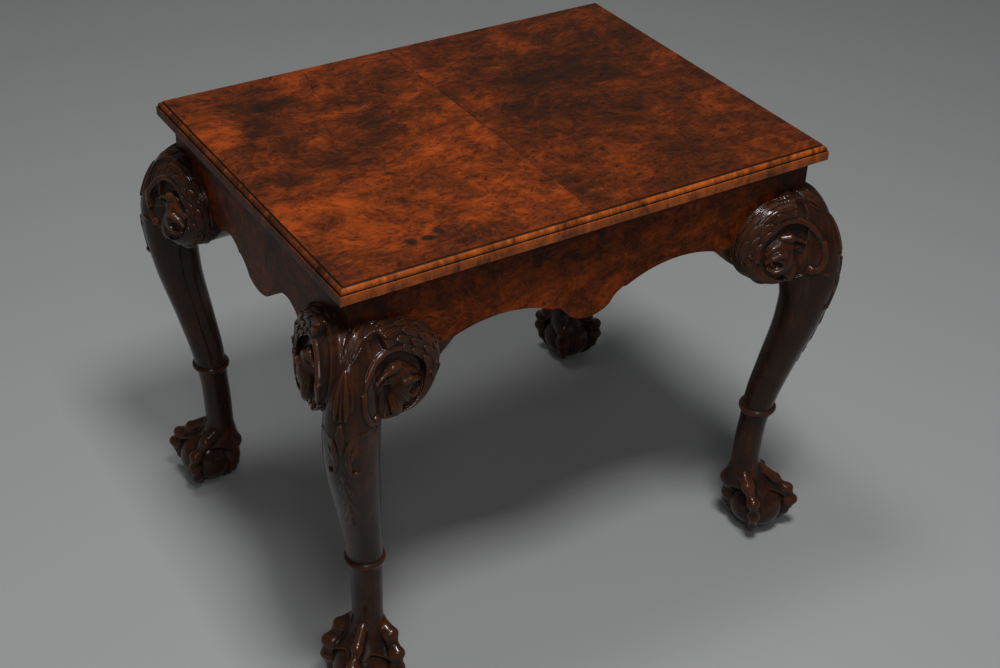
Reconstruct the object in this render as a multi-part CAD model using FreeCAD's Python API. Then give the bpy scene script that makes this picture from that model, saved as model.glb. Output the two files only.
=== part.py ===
"""Tea table: a burr-veneered flat top with an ovolo edge, on four carved cabriole legs.

Millimetres, +Z up.  The origin is on the floor under the middle of the table, +X runs along the
long side and -Y is the front.  The legs and ears are built once, in the quadrant where X and Y are
both positive, and are mirrored to the other corners.
"""
import FreeCAD, Part

import math
import os
from collections import namedtuple

from FreeCAD import Vector

# ---------------------------------------------------------------- driving dimensions: top
HEIGHT = 500.0              # floor to the top surface
TOP_LENGTH = 557.0          # over the bands of the edge moulding
TOP_WIDTH = 417.0
GROUND_THICKNESS = 16.0     # softwood board under the veneer
TOP_VENEER = 1.0
SEAM_X = -8.0               # joint between the two leaves of veneer
MOULDING_WIDTH = 12.0       # lipping that carries the edge moulding
MOULDING_STEP = 1.4         # from the top surface down to the ovolo
OVOLO_RADIUS = 4.4
QUIRK = 1.4                 # height and width of the fillet between ovolo and band

# ---------------------------------------------------------------- driving dimensions: frame
APRON_SETBACK = 13.3        # band of the moulding to the face of the apron
RAIL_THICKNESS = 19.0
RAIL_VENEER = 1.2
TENON_THICKNESS = 8.0
TENON_LENGTH = 22.0
TENON_SHOULDER = 8.0        # from the post's outer face to the tenon's near cheek
TENON_TOP_MARGIN = 10.0
TENON_BOTTOM_MARGIN = 6.0
MORTISE_END_GAP = 1.0       # room for glue at the end of each tenon
TENON_ROOT = 1.0            # how far the tenon's block runs back into its rail

# Lower edge of a rail.  Depths are below the top surface and offsets are from the rail's middle.
Rail = namedtuple("Rail", "drop drop_half drop_edge cusp cusp_depth arch_start arch_depth")
LONG_RAIL = Rail(126.0, 24.0, 117.5, 39.0, 103.0, 44.0, 88.5)
SHORT_RAIL = Rail(122.5, 22.0, 116.5, 40.0, 101.0, 44.0, 91.0)
RAIL_END_DEPTH = 97.0       # depth of the rails where the ears and posts take over
COVE_HOLLOW = 1.2           # how far the cove beside the drop is hollowed, in X and in depth

# ---------------------------------------------------------------- driving dimensions: legs
POST = 40.0                 # the leg's square, from the apron's faces inwards
POST_DEPTH = 115.0          # from the top surface to the foot of the square
KNEE_DEPTH = 52.0           # from the top surface to where the carving starts
LEG_SHIFT = -6.0            # sideways set of the carved leg against the corner's diagonal

# Sections of the leg: outer and inner reach along the corner's diagonal, and half its width.
Section = namedtuple("Section", "level outer inner half_width")
KNEE_SECTIONS = (           # level: depth below the top surface
    Section(52.0, 2.0, -50.0, 5.0),
    Section(62.0, 15.0, -50.0, 12.0),
    Section(74.0, 28.0, -48.0, 17.0),
    Section(88.0, 37.0, -46.0, 20.0),
    Section(104.0, 43.5, -42.0, 23.0),
    Section(120.0, 47.5, -34.0, 25.0),
    Section(136.0, 49.5, -24.0, 26.0),
    Section(152.0, 49.0, -16.0, 26.5),
    Section(174.0, 45.5, -10.5, 26.5),
    Section(200.0, 40.0, -11.0, 25.5),
)
SHANK_SECTIONS = (          # level: height above the floor
    Section(230.0, 18.5, -22.5, 21.3),
    Section(187.0, 6.5, -30.0, 19.0),
    Section(150.0, -1.0, -32.5, 17.3),
    Section(115.0, -3.3, -35.0, 16.4),
    Section(84.0, -2.0, -36.0, 16.6),
    Section(70.0, 4.0, -37.0, 20.5),
    Section(59.0, 20.0, -38.0, 29.0),
    Section(48.0, 31.0, -34.5, 33.0),
)
SECTION_POINTS = 16

COLLAR_HEIGHT = 167.5       # middle of the turned ring round the ankle
COLLAR_RADIUS = 17.0
COLLAR_BEAD = 4.2

BALL_RADIUS = 31.5
BALL_FLAT = 0.5             # planed off under the ball, so that the table stands on four flats
TOE_REACH = 34.5            # ball's centre to the middle of a toe
TOE_TURNS = (0.0, 90.0, 180.0, 270.0)
Knuckle = namedtuple("Knuckle", "swing radius")
KNUCKLES = (                # swing: degrees down from straight above the ball's centre
    Knuckle(32.0, 7.0),
    Knuckle(43.0, 8.0),
    Knuckle(54.0, 8.8),
    Knuckle(70.0, 7.2),
    Knuckle(84.0, 8.4),
    Knuckle(98.0, 6.8),
    Knuckle(112.0, 6.4),
    Knuckle(128.0, 3.6),
)

# ---------------------------------------------------------------- driving dimensions: volutes
# A volute is a thick disc on each apron face beside the knee.  Its own face leans out towards the
# floor and turns towards the leg's corner, so that it follows the swell of the knee.
Volute = namedtuple("Volute", "radius inset depth")
LONG_VOLUTE = Volute(42.0, 46.0, 99.0)      # inset: apron's corner to the disc's middle
SHORT_VOLUTE = Volute(40.5, 44.5, 97.5)
VOLUTE_PROUD = 24.0         # apron's face to the disc's face, at the disc's middle
VOLUTE_LEAN = 0.21          # outwards for each millimetre down
VOLUTE_TURN = 0.22          # outwards for each millimetre towards the corner
VOLUTE_BACKING = 12.0       # how far a volute's root runs into the leg
VOLUTE_ROUND = 5.0          # rounding of the disc's outer edge
FIELD_RADIUS = 30.0         # sunken field inside the scroll
FIELD_SHIFT = 13.0          # field's middle: from the disc's middle towards the corner ...
FIELD_DROP = 4.5            # ... and down
FIELD_SINK = 7.0
HEAD_RADIUS = 17.0          # rounded boss in the field where the scroll ends
HEAD_SHIFT = 1.0            # boss's middle: from the disc's middle towards the corner ...
HEAD_DROP = 14.0            # ... and down
HEAD_SINK = 10.5            # boss's middle behind the disc's face
EAR_LENGTH = 71.0           # post to the tip of the bracket along the rail
EAR_DEPTH = 145.0           # depth of the bracket beside the leg
EAR_BELLY_ALONG = 30.0      # middle of the bracket's curve: in from its tip ...
EAR_BELLY_DOWN = 27.0       # ... and down from the rail's end
EAR_THICKNESS = 20.2        # of the bracket behind the apron's face

# ---------------------------------------------------------------- driving dimensions: blocks
CORNER_BLOCK_LEG = 35.0     # reach of a corner block along each rail, past the post
CORNER_BLOCK_HEIGHT = 45.0
CORNER_BLOCK_DROP = 6.0     # clear of the top's underside
FIXING_BLOCK = 18.0         # square section
FIXING_BLOCK_LENGTH = 46.0
LONG_BLOCK_OFFSETS = (-105.0, 0.0, 105.0)
SHORT_BLOCK_OFFSETS = (-55.0, 55.0)

SCREW_SHANK = 4.0           # diameter
SCREW_HEAD = 8.0
SCREW_HEAD_HEIGHT = 2.4
SCREW_SLOT = 1.2
SCREW_BITE = 11.0           # length in the far piece
SCREW_CLEARANCE = 0.4       # on the diameter, where a screw passes through a block
SCREW_BORE_GAP = 0.2        # round and under a sunk head
CORNER_SCREW_ALONG = 17.0   # past the post's side
CORNER_SCREW_GRIP = 11.0    # block left under the head

# ---------------------------------------------------------------- worked out from the above
TOP_THICKNESS = GROUND_THICKNESS + TOP_VENEER
TOP_UNDERSIDE = HEIGHT - TOP_THICKNESS
APRON_X = TOP_LENGTH / 2 - APRON_SETBACK
APRON_Y = TOP_WIDTH / 2 - APRON_SETBACK
FLAT_INSET = QUIRK + OVOLO_RADIUS
RAIL_INNER = RAIL_VENEER + RAIL_THICKNESS
KNEE_TOP = HEIGHT - KNEE_DEPTH
POST_BOTTOM = HEIGHT - POST_DEPTH
RAIL_END = HEIGHT - RAIL_END_DEPTH
FAR = 2 * (TOP_LENGTH + HEIGHT)
DIAGONAL = math.sqrt(0.5)
SIDES = {"back": 0.0, "left": 90.0, "front": 180.0, "right": 270.0}
CORNERS = {
    "front_left": (-1, -1),
    "front_right": (1, -1),
    "back_left": (-1, 1),
    "back_right": (1, 1),
}


# ---------------------------------------------------------------- helpers
def box(x0, x1, y0, y1, z0, z1):
    """Block between two corners."""
    return Part.makeBox(x1 - x0, y1 - y0, z1 - z0, Vector(x0, y0, z0))


def prism(points, z0, z1):
    """Upright prism over a polygon of (x, y) points."""
    ring = [Vector(x, y, z0) for x, y in points]
    ring.append(ring[0])
    return Part.Face(Part.makePolygon(ring)).extrude(Vector(0, 0, z1 - z0))


def line(start, end):
    """Straight edge."""
    return Part.LineSegment(start, end).toShape()


def arc(start, middle, end):
    """Edge on the circle through three points."""
    return Part.Arc(start, middle, end).toShape()


def face_of(edges):
    """Flat face inside a closed run of edges."""
    return Part.Face(Part.Wire(edges))


def fuse_all(shapes):
    """One solid from several that overlap."""
    return shapes[0].multiFuse(shapes[1:]).removeSplitter()


def at_corner(shape, corner):
    """Mirror a shape from the (+X, +Y) quadrant to a named corner."""
    sign_x, sign_y = CORNERS[corner]
    if sign_x < 0:
        shape = shape.mirror(Vector(0, 0, 0), Vector(1, 0, 0))
    if sign_y < 0:
        shape = shape.mirror(Vector(0, 0, 0), Vector(0, 1, 0))
    return shape


def at_side(shape, side):
    """Turn a shape from the back side to a named side."""
    turned = shape.copy()
    turned.rotate(Vector(0, 0, 0), Vector(0, 0, 1), SIDES[side])
    return turned


def half_sizes(side):
    """Apron half length along a side, and its distance from the middle of the table."""
    if side in ("front", "back"):
        return APRON_X, APRON_Y
    return APRON_Y, APRON_X


# ---------------------------------------------------------------- top
def top_ground():
    """Softwood board inside the four mouldings, drilled for the fixing screws."""
    half_x = TOP_LENGTH / 2 - MOULDING_WIDTH
    half_y = TOP_WIDTH / 2 - MOULDING_WIDTH
    board = box(-half_x, half_x, -half_y, half_y, TOP_UNDERSIDE, HEIGHT - TOP_VENEER)
    for x, y in fixing_screw_places():
        board = board.cut(Part.makeCylinder(SCREW_SHANK / 2, SCREW_BITE, Vector(x, y, TOP_UNDERSIDE)))
    return board


def top_veneer(x0, x1):
    """One leaf of burr veneer over the ground and the inner part of the mouldings."""
    half_y = TOP_WIDTH / 2 - FLAT_INSET
    return box(x0, x1, -half_y, half_y, HEIGHT - TOP_VENEER, HEIGHT)


def edge_moulding(side):
    """Mitred cross-grained lipping: flat band, quirk and ovolo."""
    length, width = (TOP_LENGTH, TOP_WIDTH) if side in ("front", "back") else (TOP_WIDTH, TOP_LENGTH)
    half, out = length / 2, width / 2
    ovolo_foot = HEIGHT - MOULDING_STEP - OVOLO_RADIUS
    band_top = ovolo_foot - QUIRK
    slant = OVOLO_RADIUS * DIAGONAL

    def at(inset, z):
        return Vector(-half, out - inset, z)

    seat = HEIGHT - TOP_VENEER
    section = face_of([
        line(at(0, TOP_UNDERSIDE), at(0, band_top)),
        line(at(0, band_top), at(QUIRK, band_top)),
        line(at(QUIRK, band_top), at(QUIRK, ovolo_foot)),
        arc(
            at(QUIRK, ovolo_foot),
            at(FLAT_INSET - slant, ovolo_foot + slant),
            at(FLAT_INSET, HEIGHT - MOULDING_STEP),
        ),
        line(at(FLAT_INSET, HEIGHT - MOULDING_STEP), at(FLAT_INSET, seat)),
        line(at(FLAT_INSET, seat), at(MOULDING_WIDTH, seat)),
        line(at(MOULDING_WIDTH, seat), at(MOULDING_WIDTH, TOP_UNDERSIDE)),
        line(at(MOULDING_WIDTH, TOP_UNDERSIDE), at(0, TOP_UNDERSIDE)),
    ])
    mitres = prism(
        [
            (-half, out),
            (half, out),
            (half - MOULDING_WIDTH, out - MOULDING_WIDTH),
            (-half + MOULDING_WIDTH, out - MOULDING_WIDTH),
        ],
        TOP_UNDERSIDE,
        HEIGHT,
    )
    return at_side(section.extrude(Vector(length, 0, 0)).common(mitres), side)


# ---------------------------------------------------------------- rails
def rail_edges(rail, half, plane_y):
    """Outline of a rail's face in the plane y = plane_y, from post to post."""
    end = half - POST
    arch_end = end - EAR_LENGTH
    arch_middle = (rail.arch_start + arch_end) / 2

    def at(x, depth):
        return Vector(x, plane_y, HEIGHT - depth)

    def lower_half(sign):
        cove_x = (rail.drop_half + rail.cusp) / 2 - COVE_HOLLOW
        cove_depth = (rail.drop_edge + rail.cusp_depth) / 2 - COVE_HOLLOW
        start = at(sign * rail.arch_start, rail.cusp_depth)
        tip = at(sign * arch_end, RAIL_END_DEPTH)
        drop_edge = at(sign * rail.drop_half, rail.drop_edge)
        cusp = at(sign * rail.cusp, rail.cusp_depth)
        return [
            arc(drop_edge, at(sign * cove_x, cove_depth), cusp),
            line(cusp, start),
            arc(start, at(sign * arch_middle, rail.arch_depth), tip),
            line(tip, at(sign * end, RAIL_END_DEPTH)),
            line(at(sign * end, RAIL_END_DEPTH), at(sign * end, TOP_THICKNESS)),
        ]

    drop = arc(
        at(-rail.drop_half, rail.drop_edge),
        at(0, rail.drop),
        at(rail.drop_half, rail.drop_edge),
    )
    top = line(at(-end, TOP_THICKNESS), at(end, TOP_THICKNESS))
    return [drop] + lower_half(1) + [top] + lower_half(-1)


def rail_slab(side, outer_inset, thickness):
    """Slab with a rail's outline, its outer face outer_inset behind the apron's face."""
    half, out = half_sizes(side)
    rail = LONG_RAIL if side in ("front", "back") else SHORT_RAIL
    outer = out - outer_inset
    face = Part.Face(Part.Wire(Part.__sortEdges__(rail_edges(rail, half, outer))))
    return face.extrude(Vector(0, -thickness, 0))


def tenon(half, out, slack):
    """Tenon at a rail's +X end, or its mortise when slack is not zero, on the back side."""
    cheek = out - RAIL_VENEER - TENON_SHOULDER
    return box(
        half - POST - (TENON_ROOT if slack == 0 else 0),
        half - POST + TENON_LENGTH + slack,
        cheek - TENON_THICKNESS,
        cheek,
        RAIL_END + TENON_BOTTOM_MARGIN,
        TOP_UNDERSIDE - TENON_TOP_MARGIN,
    )


def rail_core(side):
    """Rail with its two tenons, drilled for the corner blocks' screws."""
    half, out = half_sizes(side)
    right = tenon(half, out, 0)
    left = right.mirror(Vector(0, 0, 0), Vector(1, 0, 0))
    core = rail_slab(side, RAIL_VENEER, RAIL_THICKNESS).fuse([right, left]).removeSplitter()
    for sign in (-1, 1):
        x = sign * (half - POST - CORNER_SCREW_ALONG)
        start = Vector(x, out - RAIL_INNER, corner_screw_height())
        core = core.cut(Part.makeCylinder(SCREW_SHANK / 2, SCREW_BITE, start, Vector(0, 1, 0)))
    return at_side(core, side)


def rail_veneer(side):
    """Burr veneer on a rail's outer face."""
    return at_side(rail_slab(side, 0, RAIL_VENEER), side)


def post_veneer():
    """Burr veneer round the outer corner of a post, above the knee."""
    outer = box(APRON_X - POST, APRON_X, APRON_Y - POST, APRON_Y, KNEE_TOP, TOP_UNDERSIDE)
    inner = box(
        APRON_X - POST,
        APRON_X - RAIL_VENEER,
        APRON_Y - POST,
        APRON_Y - RAIL_VENEER,
        KNEE_TOP,
        TOP_UNDERSIDE,
    )
    return outer.cut(inner)


# ---------------------------------------------------------------- volutes and brackets
def volute_point(volute, half, out, shift, drop, sink):
    """Point by a volute: towards the corner, down, and behind the disc's leaning face."""
    proud = VOLUTE_PROUD + VOLUTE_TURN * shift + VOLUTE_LEAN * drop
    on_face = Vector(half - volute.inset + shift, out + proud, HEIGHT - volute.depth - drop)
    return on_face - volute_normal() * sink


def volute_normal():
    """Outward direction of a volute's leaning face, on the back side."""
    return Vector(-VOLUTE_TURN, 1, VOLUTE_LEAN).normalize()


def volute_disc(volute, half, out, backing):
    """Thick disc with a leaning face, standing on the back side's apron."""
    centre = Vector(half - volute.inset, out - backing, HEIGHT - volute.depth)
    blank = Part.makeCylinder(volute.radius, backing + 2 * volute.radius, centre, Vector(0, 1, 0))
    beyond = Part.makeBox(FAR, FAR, FAR, Vector(-FAR / 2, -FAR / 2, 0))
    face = volute_point(volute, half, out, 0, 0, 0)
    beyond.Placement = FreeCAD.Placement(face, FreeCAD.Rotation(Vector(0, 0, 1), volute_normal()))
    disc = blank.cut(beyond).Solids[0]
    rims = [edge for edge in disc.Edges if edge.BoundBox.YMin > out]
    longest = max(rims, key=lambda edge: edge.Length)
    return disc.makeFillet(VOLUTE_ROUND, [longest])


def volute_field(volute, half, out):
    """Space to carve away inside the scroll."""
    floor = volute_point(volute, half, out, FIELD_SHIFT, FIELD_DROP, FIELD_SINK)
    return Part.makeCylinder(FIELD_RADIUS, FAR, floor, volute_normal())


def volute_head(volute, half, out):
    """Rounded boss that ends the scroll."""
    return Part.makeSphere(HEAD_RADIUS, volute_point(volute, half, out, HEAD_SHIFT, HEAD_DROP, HEAD_SINK))


def bracket(half, out):
    """Knee bracket below the rail's end, from the leg's corner to the arch, on the back side."""
    tip_x = half - POST - EAR_LENGTH
    front = out

    def at(x, depth):
        return Vector(x, front, HEIGHT - depth)

    tip = at(tip_x, RAIL_END_DEPTH)
    belly = at(tip_x + EAR_BELLY_ALONG, RAIL_END_DEPTH + EAR_BELLY_DOWN)
    root = at(half - POST, EAR_DEPTH)
    shoulder = at(half - POST / 2, EAR_DEPTH)
    face = face_of([
        arc(tip, belly, root),
        line(root, shoulder),
        line(shoulder, at(half - POST / 2, RAIL_END_DEPTH)),
        line(at(half - POST / 2, RAIL_END_DEPTH), tip),
    ])
    return face.extrude(Vector(0, -EAR_THICKNESS, 0))


def ear(side):
    """Inner half of a volute and its bracket, at the +X end of a side."""
    half, out = half_sizes(side)
    volute = LONG_VOLUTE if side in ("front", "back") else SHORT_VOLUTE
    glued_face = box(-FAR, half - POST, out, FAR, 0, HEIGHT)
    beside_leg = box(-FAR, half - POST, -FAR, FAR, 0, HEIGHT)
    disc = volute_disc(volute, half, out, 0).cut(volute_field(volute, half, out))
    scroll = disc.fuse(volute_head(volute, half, out)).common(glued_face)
    root = bracket(half, out).common(beside_leg)
    return scroll.fuse(root).removeSplitter()


# ---------------------------------------------------------------- legs
def on_diagonal(along, across, z):
    """Point measured from the apron's corner: along its diagonal and square to it."""
    sideways = across + LEG_SHIFT
    return Vector(
        APRON_X + (along + sideways) * DIAGONAL,
        APRON_Y + (along - sideways) * DIAGONAL,
        z,
    )


def leg_section(section, z):
    """Closed oval curve at one height of the leg."""
    middle = (section.outer + section.inner) / 2
    reach = (section.outer - section.inner) / 2
    points = []
    for index in range(SECTION_POINTS):
        angle = 2 * math.pi * index / SECTION_POINTS
        along = middle + reach * math.cos(angle)
        points.append(on_diagonal(along, section.half_width * math.sin(angle), z))
    curve = Part.BSplineCurve()
    curve.interpolate(points, PeriodicFlag=True)
    start, end = curve.FirstParameter, curve.LastParameter
    marks = [start + (end - start) * quarter / 4 for quarter in range(5)]
    return Part.Wire([curve.toShape(a, b) for a, b in zip(marks, marks[1:])])


def carved_leg():
    """Knee, shaft, shank and the palm over the ball, in one smooth run."""
    wires = [leg_section(section, HEIGHT - section.level) for section in KNEE_SECTIONS]
    wires += [leg_section(section, section.level) for section in SHANK_SECTIONS]
    stock = box(APRON_X - POST, FAR, APRON_Y - POST, FAR, 0, HEIGHT)
    return Part.makeLoft(wires, True, False).common(stock)


def collar():
    """Turned ring round the ankle."""
    above, below = sorted(SHANK_SECTIONS, key=lambda item: abs(item.level - COLLAR_HEIGHT))[:2]
    share = (COLLAR_HEIGHT - below.level) / (above.level - below.level)
    middle_above = (above.outer + above.inner) / 2
    middle_below = (below.outer + below.inner) / 2
    along = middle_below + share * (middle_above - middle_below)
    return Part.makeTorus(COLLAR_RADIUS, COLLAR_BEAD, on_diagonal(along, 0, COLLAR_HEIGHT))


def ball_centre():
    """Middle of the ball in the claw."""
    return on_diagonal(0, 0, BALL_RADIUS - BALL_FLAT)


def toe(turn):
    """One knuckled toe bent over the ball, turned from the corner's diagonal."""
    heading = math.radians(45.0 + turn)
    outwards = Vector(math.cos(heading), math.sin(heading), 0)
    up = Vector(0, 0, 1)
    rings = []
    for knuckle in KNUCKLES:
        swing = math.radians(knuckle.swing)
        arm = outwards * math.sin(swing) + up * math.cos(swing)
        along = outwards * math.cos(swing) - up * math.sin(swing)
        middle = ball_centre() + arm * TOE_REACH
        rings.append(Part.Wire(Part.Circle(middle, along, knuckle.radius).toShape()))
    return Part.makeLoft(rings, True, False)


def foot():
    """Ball gripped by four toes, planed flat where it stands."""
    ball = Part.makeSphere(BALL_RADIUS, ball_centre())
    pieces = [ball] + [toe(turn) for turn in TOE_TURNS]
    return fuse_all(pieces).common(box(0, FAR, 0, FAR, 0, HEIGHT))


def swapped(shape):
    """Mirror a shape about the plane x = y, which swaps the two sides of a corner."""
    return shape.mirror(Vector(0, 0, 0), Vector(1, -1, 0))


def leg_side(volute, half, out):
    """Outer part of a volute and the bracket's root, on one side of the leg."""
    stock = box(half - POST, FAR, 0, FAR, 0, HEIGHT)
    disc = volute_disc(volute, half, out, VOLUTE_BACKING)
    return disc.fuse(bracket(half, out)).removeSplitter().common(stock)


def leg_head(volute, half, out):
    """The part of a volute's boss that lies on the leg."""
    stock = box(half - POST, FAR, out - VOLUTE_BACKING, FAR, 0, HEIGHT)
    return volute_head(volute, half, out).common(stock)


def leg():
    """Whole leg in the (+X, +Y) quadrant, with mortises for two rails."""
    post_face_x = APRON_X - RAIL_VENEER
    post_face_y = APRON_Y - RAIL_VENEER
    post = box(APRON_X - POST, post_face_x, APRON_Y - POST, post_face_y, POST_BOTTOM, TOP_UNDERSIDE)
    long_side = leg_side(LONG_VOLUTE, APRON_X, APRON_Y)
    short_side = swapped(leg_side(SHORT_VOLUTE, APRON_Y, APRON_X))
    solid = fuse_all([post, carved_leg(), collar(), foot(), long_side, short_side])
    long_field = volute_field(LONG_VOLUTE, APRON_X, APRON_Y)
    short_field = swapped(volute_field(SHORT_VOLUTE, APRON_Y, APRON_X))
    long_head = leg_head(LONG_VOLUTE, APRON_X, APRON_Y)
    short_head = swapped(leg_head(SHORT_VOLUTE, APRON_Y, APRON_X))
    solid = fuse_all([solid.cut(long_field).cut(short_field), long_head, short_head])
    long_mortise = tenon(APRON_X, APRON_Y, MORTISE_END_GAP)
    short_mortise = swapped(tenon(APRON_Y, APRON_X, MORTISE_END_GAP))
    return solid.cut(long_mortise).cut(short_mortise)


# ---------------------------------------------------------------- blocks and screws
def corner_screw_height():
    """Height of the screws in the corner blocks."""
    return TOP_UNDERSIDE - CORNER_BLOCK_DROP - CORNER_BLOCK_HEIGHT / 2


def screw(length):
    """Slotted countersunk screw, head at the origin and point along +Z."""
    head = Part.makeCone(SCREW_HEAD / 2, SCREW_SHANK / 2, SCREW_HEAD_HEIGHT)
    shank = Part.makeCylinder(SCREW_SHANK / 2, length)
    slot = box(-SCREW_HEAD, SCREW_HEAD, -SCREW_SLOT / 2, SCREW_SLOT / 2, 0, SCREW_HEAD_HEIGHT / 2)
    return head.fuse(shank).removeSplitter().cut(slot)


def screw_bore(length):
    """Clearance hole for a screw with its head sunk flush, along +Z from the origin."""
    hole = Part.makeCylinder((SCREW_SHANK + SCREW_CLEARANCE) / 2, length)
    sink_radius = SCREW_HEAD / 2 + SCREW_BORE_GAP
    sink = Part.makeCone(sink_radius, SCREW_SHANK / 2 + SCREW_BORE_GAP, SCREW_HEAD_HEIGHT + SCREW_BORE_GAP)
    return hole.fuse(sink)


def fixing_screw_places():
    """Plan positions of the screws that hold the top."""
    along_y = APRON_Y - RAIL_INNER - FIXING_BLOCK / 2
    along_x = APRON_X - RAIL_INNER - FIXING_BLOCK / 2
    places = [(x, sign * along_y) for sign in (-1, 1) for x in LONG_BLOCK_OFFSETS]
    places += [(sign * along_x, y) for sign in (-1, 1) for y in SHORT_BLOCK_OFFSETS]
    return places


def fixing_blocks(side):
    """Blocks in the angle between a rail and the top, each drilled for a screw."""
    out = half_sizes(side)[1] - RAIL_INNER
    offsets = LONG_BLOCK_OFFSETS if side in ("front", "back") else SHORT_BLOCK_OFFSETS
    bottom = TOP_UNDERSIDE - FIXING_BLOCK
    blocks = []
    for x in offsets:
        start, end = x - FIXING_BLOCK_LENGTH / 2, x + FIXING_BLOCK_LENGTH / 2
        block = box(start, end, out - FIXING_BLOCK, out, bottom, TOP_UNDERSIDE)
        bore = screw_bore(FIXING_BLOCK)
        bore.translate(Vector(x, out - FIXING_BLOCK / 2, bottom))
        blocks.append(at_side(block.cut(bore), side))
    return Part.makeCompound(blocks)


def top_screws():
    """Every screw through a fixing block into the top."""
    screws = []
    for x, y in fixing_screw_places():
        piece = screw(FIXING_BLOCK + SCREW_BITE)
        piece.translate(Vector(x, y, TOP_UNDERSIDE - FIXING_BLOCK))
        screws.append(piece)
    return Part.makeCompound(screws)


def corner_screws_at_corner():
    """The two screws of one corner block, in the (+X, +Y) quadrant."""
    grip = CORNER_SCREW_GRIP
    pieces = []
    for half, out, swap in ((APRON_X, APRON_Y, False), (APRON_Y, APRON_X, True)):
        piece = screw(grip + SCREW_BITE)
        piece.rotate(Vector(0, 0, 0), Vector(1, 0, 0), -90.0)
        x = half - POST - CORNER_SCREW_ALONG
        piece.translate(Vector(x, out - RAIL_INNER - grip, corner_screw_height()))
        pieces.append(swapped(piece) if swap else piece)
    return pieces


def corner_block():
    """Block across the corner of the frame, notched round the post, bored for two screws."""
    top = TOP_UNDERSIDE - CORNER_BLOCK_DROP
    reach = POST + CORNER_BLOCK_LEG
    points = [
        (APRON_X - RAIL_INNER, APRON_Y - POST),
        (APRON_X - RAIL_INNER, APRON_Y - reach),
        (APRON_X - reach, APRON_Y - RAIL_INNER),
        (APRON_X - POST, APRON_Y - RAIL_INNER),
        (APRON_X - POST, APRON_Y - POST),
    ]
    block = prism(points, top - CORNER_BLOCK_HEIGHT, top)
    bore_radius = SCREW_HEAD / 2 + SCREW_BORE_GAP
    for half, out, swap in ((APRON_X, APRON_Y, False), (APRON_Y, APRON_X, True)):
        head_y = out - RAIL_INNER - CORNER_SCREW_GRIP
        head = Vector(half - POST - CORNER_SCREW_ALONG, head_y, corner_screw_height())
        bore = screw_bore(CORNER_SCREW_GRIP)
        bore.rotate(Vector(0, 0, 0), Vector(1, 0, 0), -90.0)
        bore.translate(head)
        access = Part.makeCylinder(bore_radius, CORNER_BLOCK_LEG, head, Vector(0, -1, 0))
        bore = bore.fuse(access)
        block = block.cut(swapped(bore) if swap else bore)
    return block


# ---------------------------------------------------------------- the table
def ears():
    """All eight ears by name: the side first, then the end of that side."""
    named = {}
    for side in SIDES:
        right_end = ear(side)
        left_end = right_end.mirror(Vector(0, 0, 0), Vector(1, 0, 0))
        for piece in (right_end, left_end):
            placed = at_side(piece, side)
            middle = placed.BoundBox.Center
            if side in ("front", "back"):
                end = "left" if middle.x < 0 else "right"
            else:
                end = "front" if middle.y < 0 else "back"
            named[f"ear_{side}_{end}"] = placed
    return named


def build_parts():
    """Every node of the table by name."""
    flat_x = TOP_LENGTH / 2 - FLAT_INSET
    parts = {
        "top_ground": top_ground(),
        "top_veneer_left": top_veneer(-flat_x, SEAM_X),
        "top_veneer_right": top_veneer(SEAM_X, flat_x),
        "top_screws": top_screws(),
    }
    for side in SIDES:
        parts[f"edge_moulding_{side}"] = edge_moulding(side)
        parts[f"rail_{side}"] = rail_core(side)
        parts[f"rail_veneer_{side}"] = rail_veneer(side)
        parts[f"fixing_blocks_{side}"] = fixing_blocks(side)
    parts.update(ears())
    one_leg, one_veneer, one_block = leg(), post_veneer(), corner_block()
    screws = []
    for corner in CORNERS:
        parts[f"leg_{corner}"] = at_corner(one_leg, corner)
        parts[f"post_veneer_{corner}"] = at_corner(one_veneer, corner)
        parts[f"corner_block_{corner}"] = at_corner(one_block, corner)
        screws += [at_corner(piece, corner) for piece in corner_screws_at_corner()]
    parts["corner_screws"] = Part.makeCompound(screws)
    return parts


def main():
    """Write one STEP file per node."""
    os.makedirs("parts", exist_ok=True)
    for name, shape in build_parts().items():
        if not shape.isValid():
            print("not valid:", name)
        shape.exportStep(f"parts/{name}.step")
        print(name, len(shape.Solids), round(shape.Volume / 1000, 1), "cm3")


main()
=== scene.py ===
"""Looks of a burr walnut tea table on four carved cabriole legs.

The scene is in metres, in the frame's axes: +Z up, the origin on the floor under the middle of the
table and the front towards -Y.  The carving is modelled in millimetres in the corner where X and Y
are both positive, and is mirrored to the other three.
"""

import logging
import math
from dataclasses import dataclass, field
from enum import Enum
from typing import Callable, Mapping, Optional, Sequence, Union

import bmesh
import bpy
import numpy as np
import openvdb
from mathutils import Matrix, Vector


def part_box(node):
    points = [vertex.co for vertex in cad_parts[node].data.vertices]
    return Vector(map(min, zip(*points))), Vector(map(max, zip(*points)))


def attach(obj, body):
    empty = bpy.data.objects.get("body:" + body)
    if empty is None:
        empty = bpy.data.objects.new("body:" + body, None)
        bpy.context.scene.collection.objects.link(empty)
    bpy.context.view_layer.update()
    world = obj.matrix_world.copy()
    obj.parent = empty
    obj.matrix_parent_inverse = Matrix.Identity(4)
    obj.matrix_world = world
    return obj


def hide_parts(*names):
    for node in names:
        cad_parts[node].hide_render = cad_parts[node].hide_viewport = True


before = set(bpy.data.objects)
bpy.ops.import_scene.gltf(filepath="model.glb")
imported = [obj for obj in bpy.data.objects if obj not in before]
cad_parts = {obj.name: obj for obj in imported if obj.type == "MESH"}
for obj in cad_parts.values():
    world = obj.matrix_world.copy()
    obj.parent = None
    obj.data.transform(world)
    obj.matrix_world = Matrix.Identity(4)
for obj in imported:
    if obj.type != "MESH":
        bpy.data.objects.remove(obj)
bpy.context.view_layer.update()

LOG = logging.getLogger("tea_table")
MM = 0.001
Array = np.ndarray
Colour = tuple[float, float, float]


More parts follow.
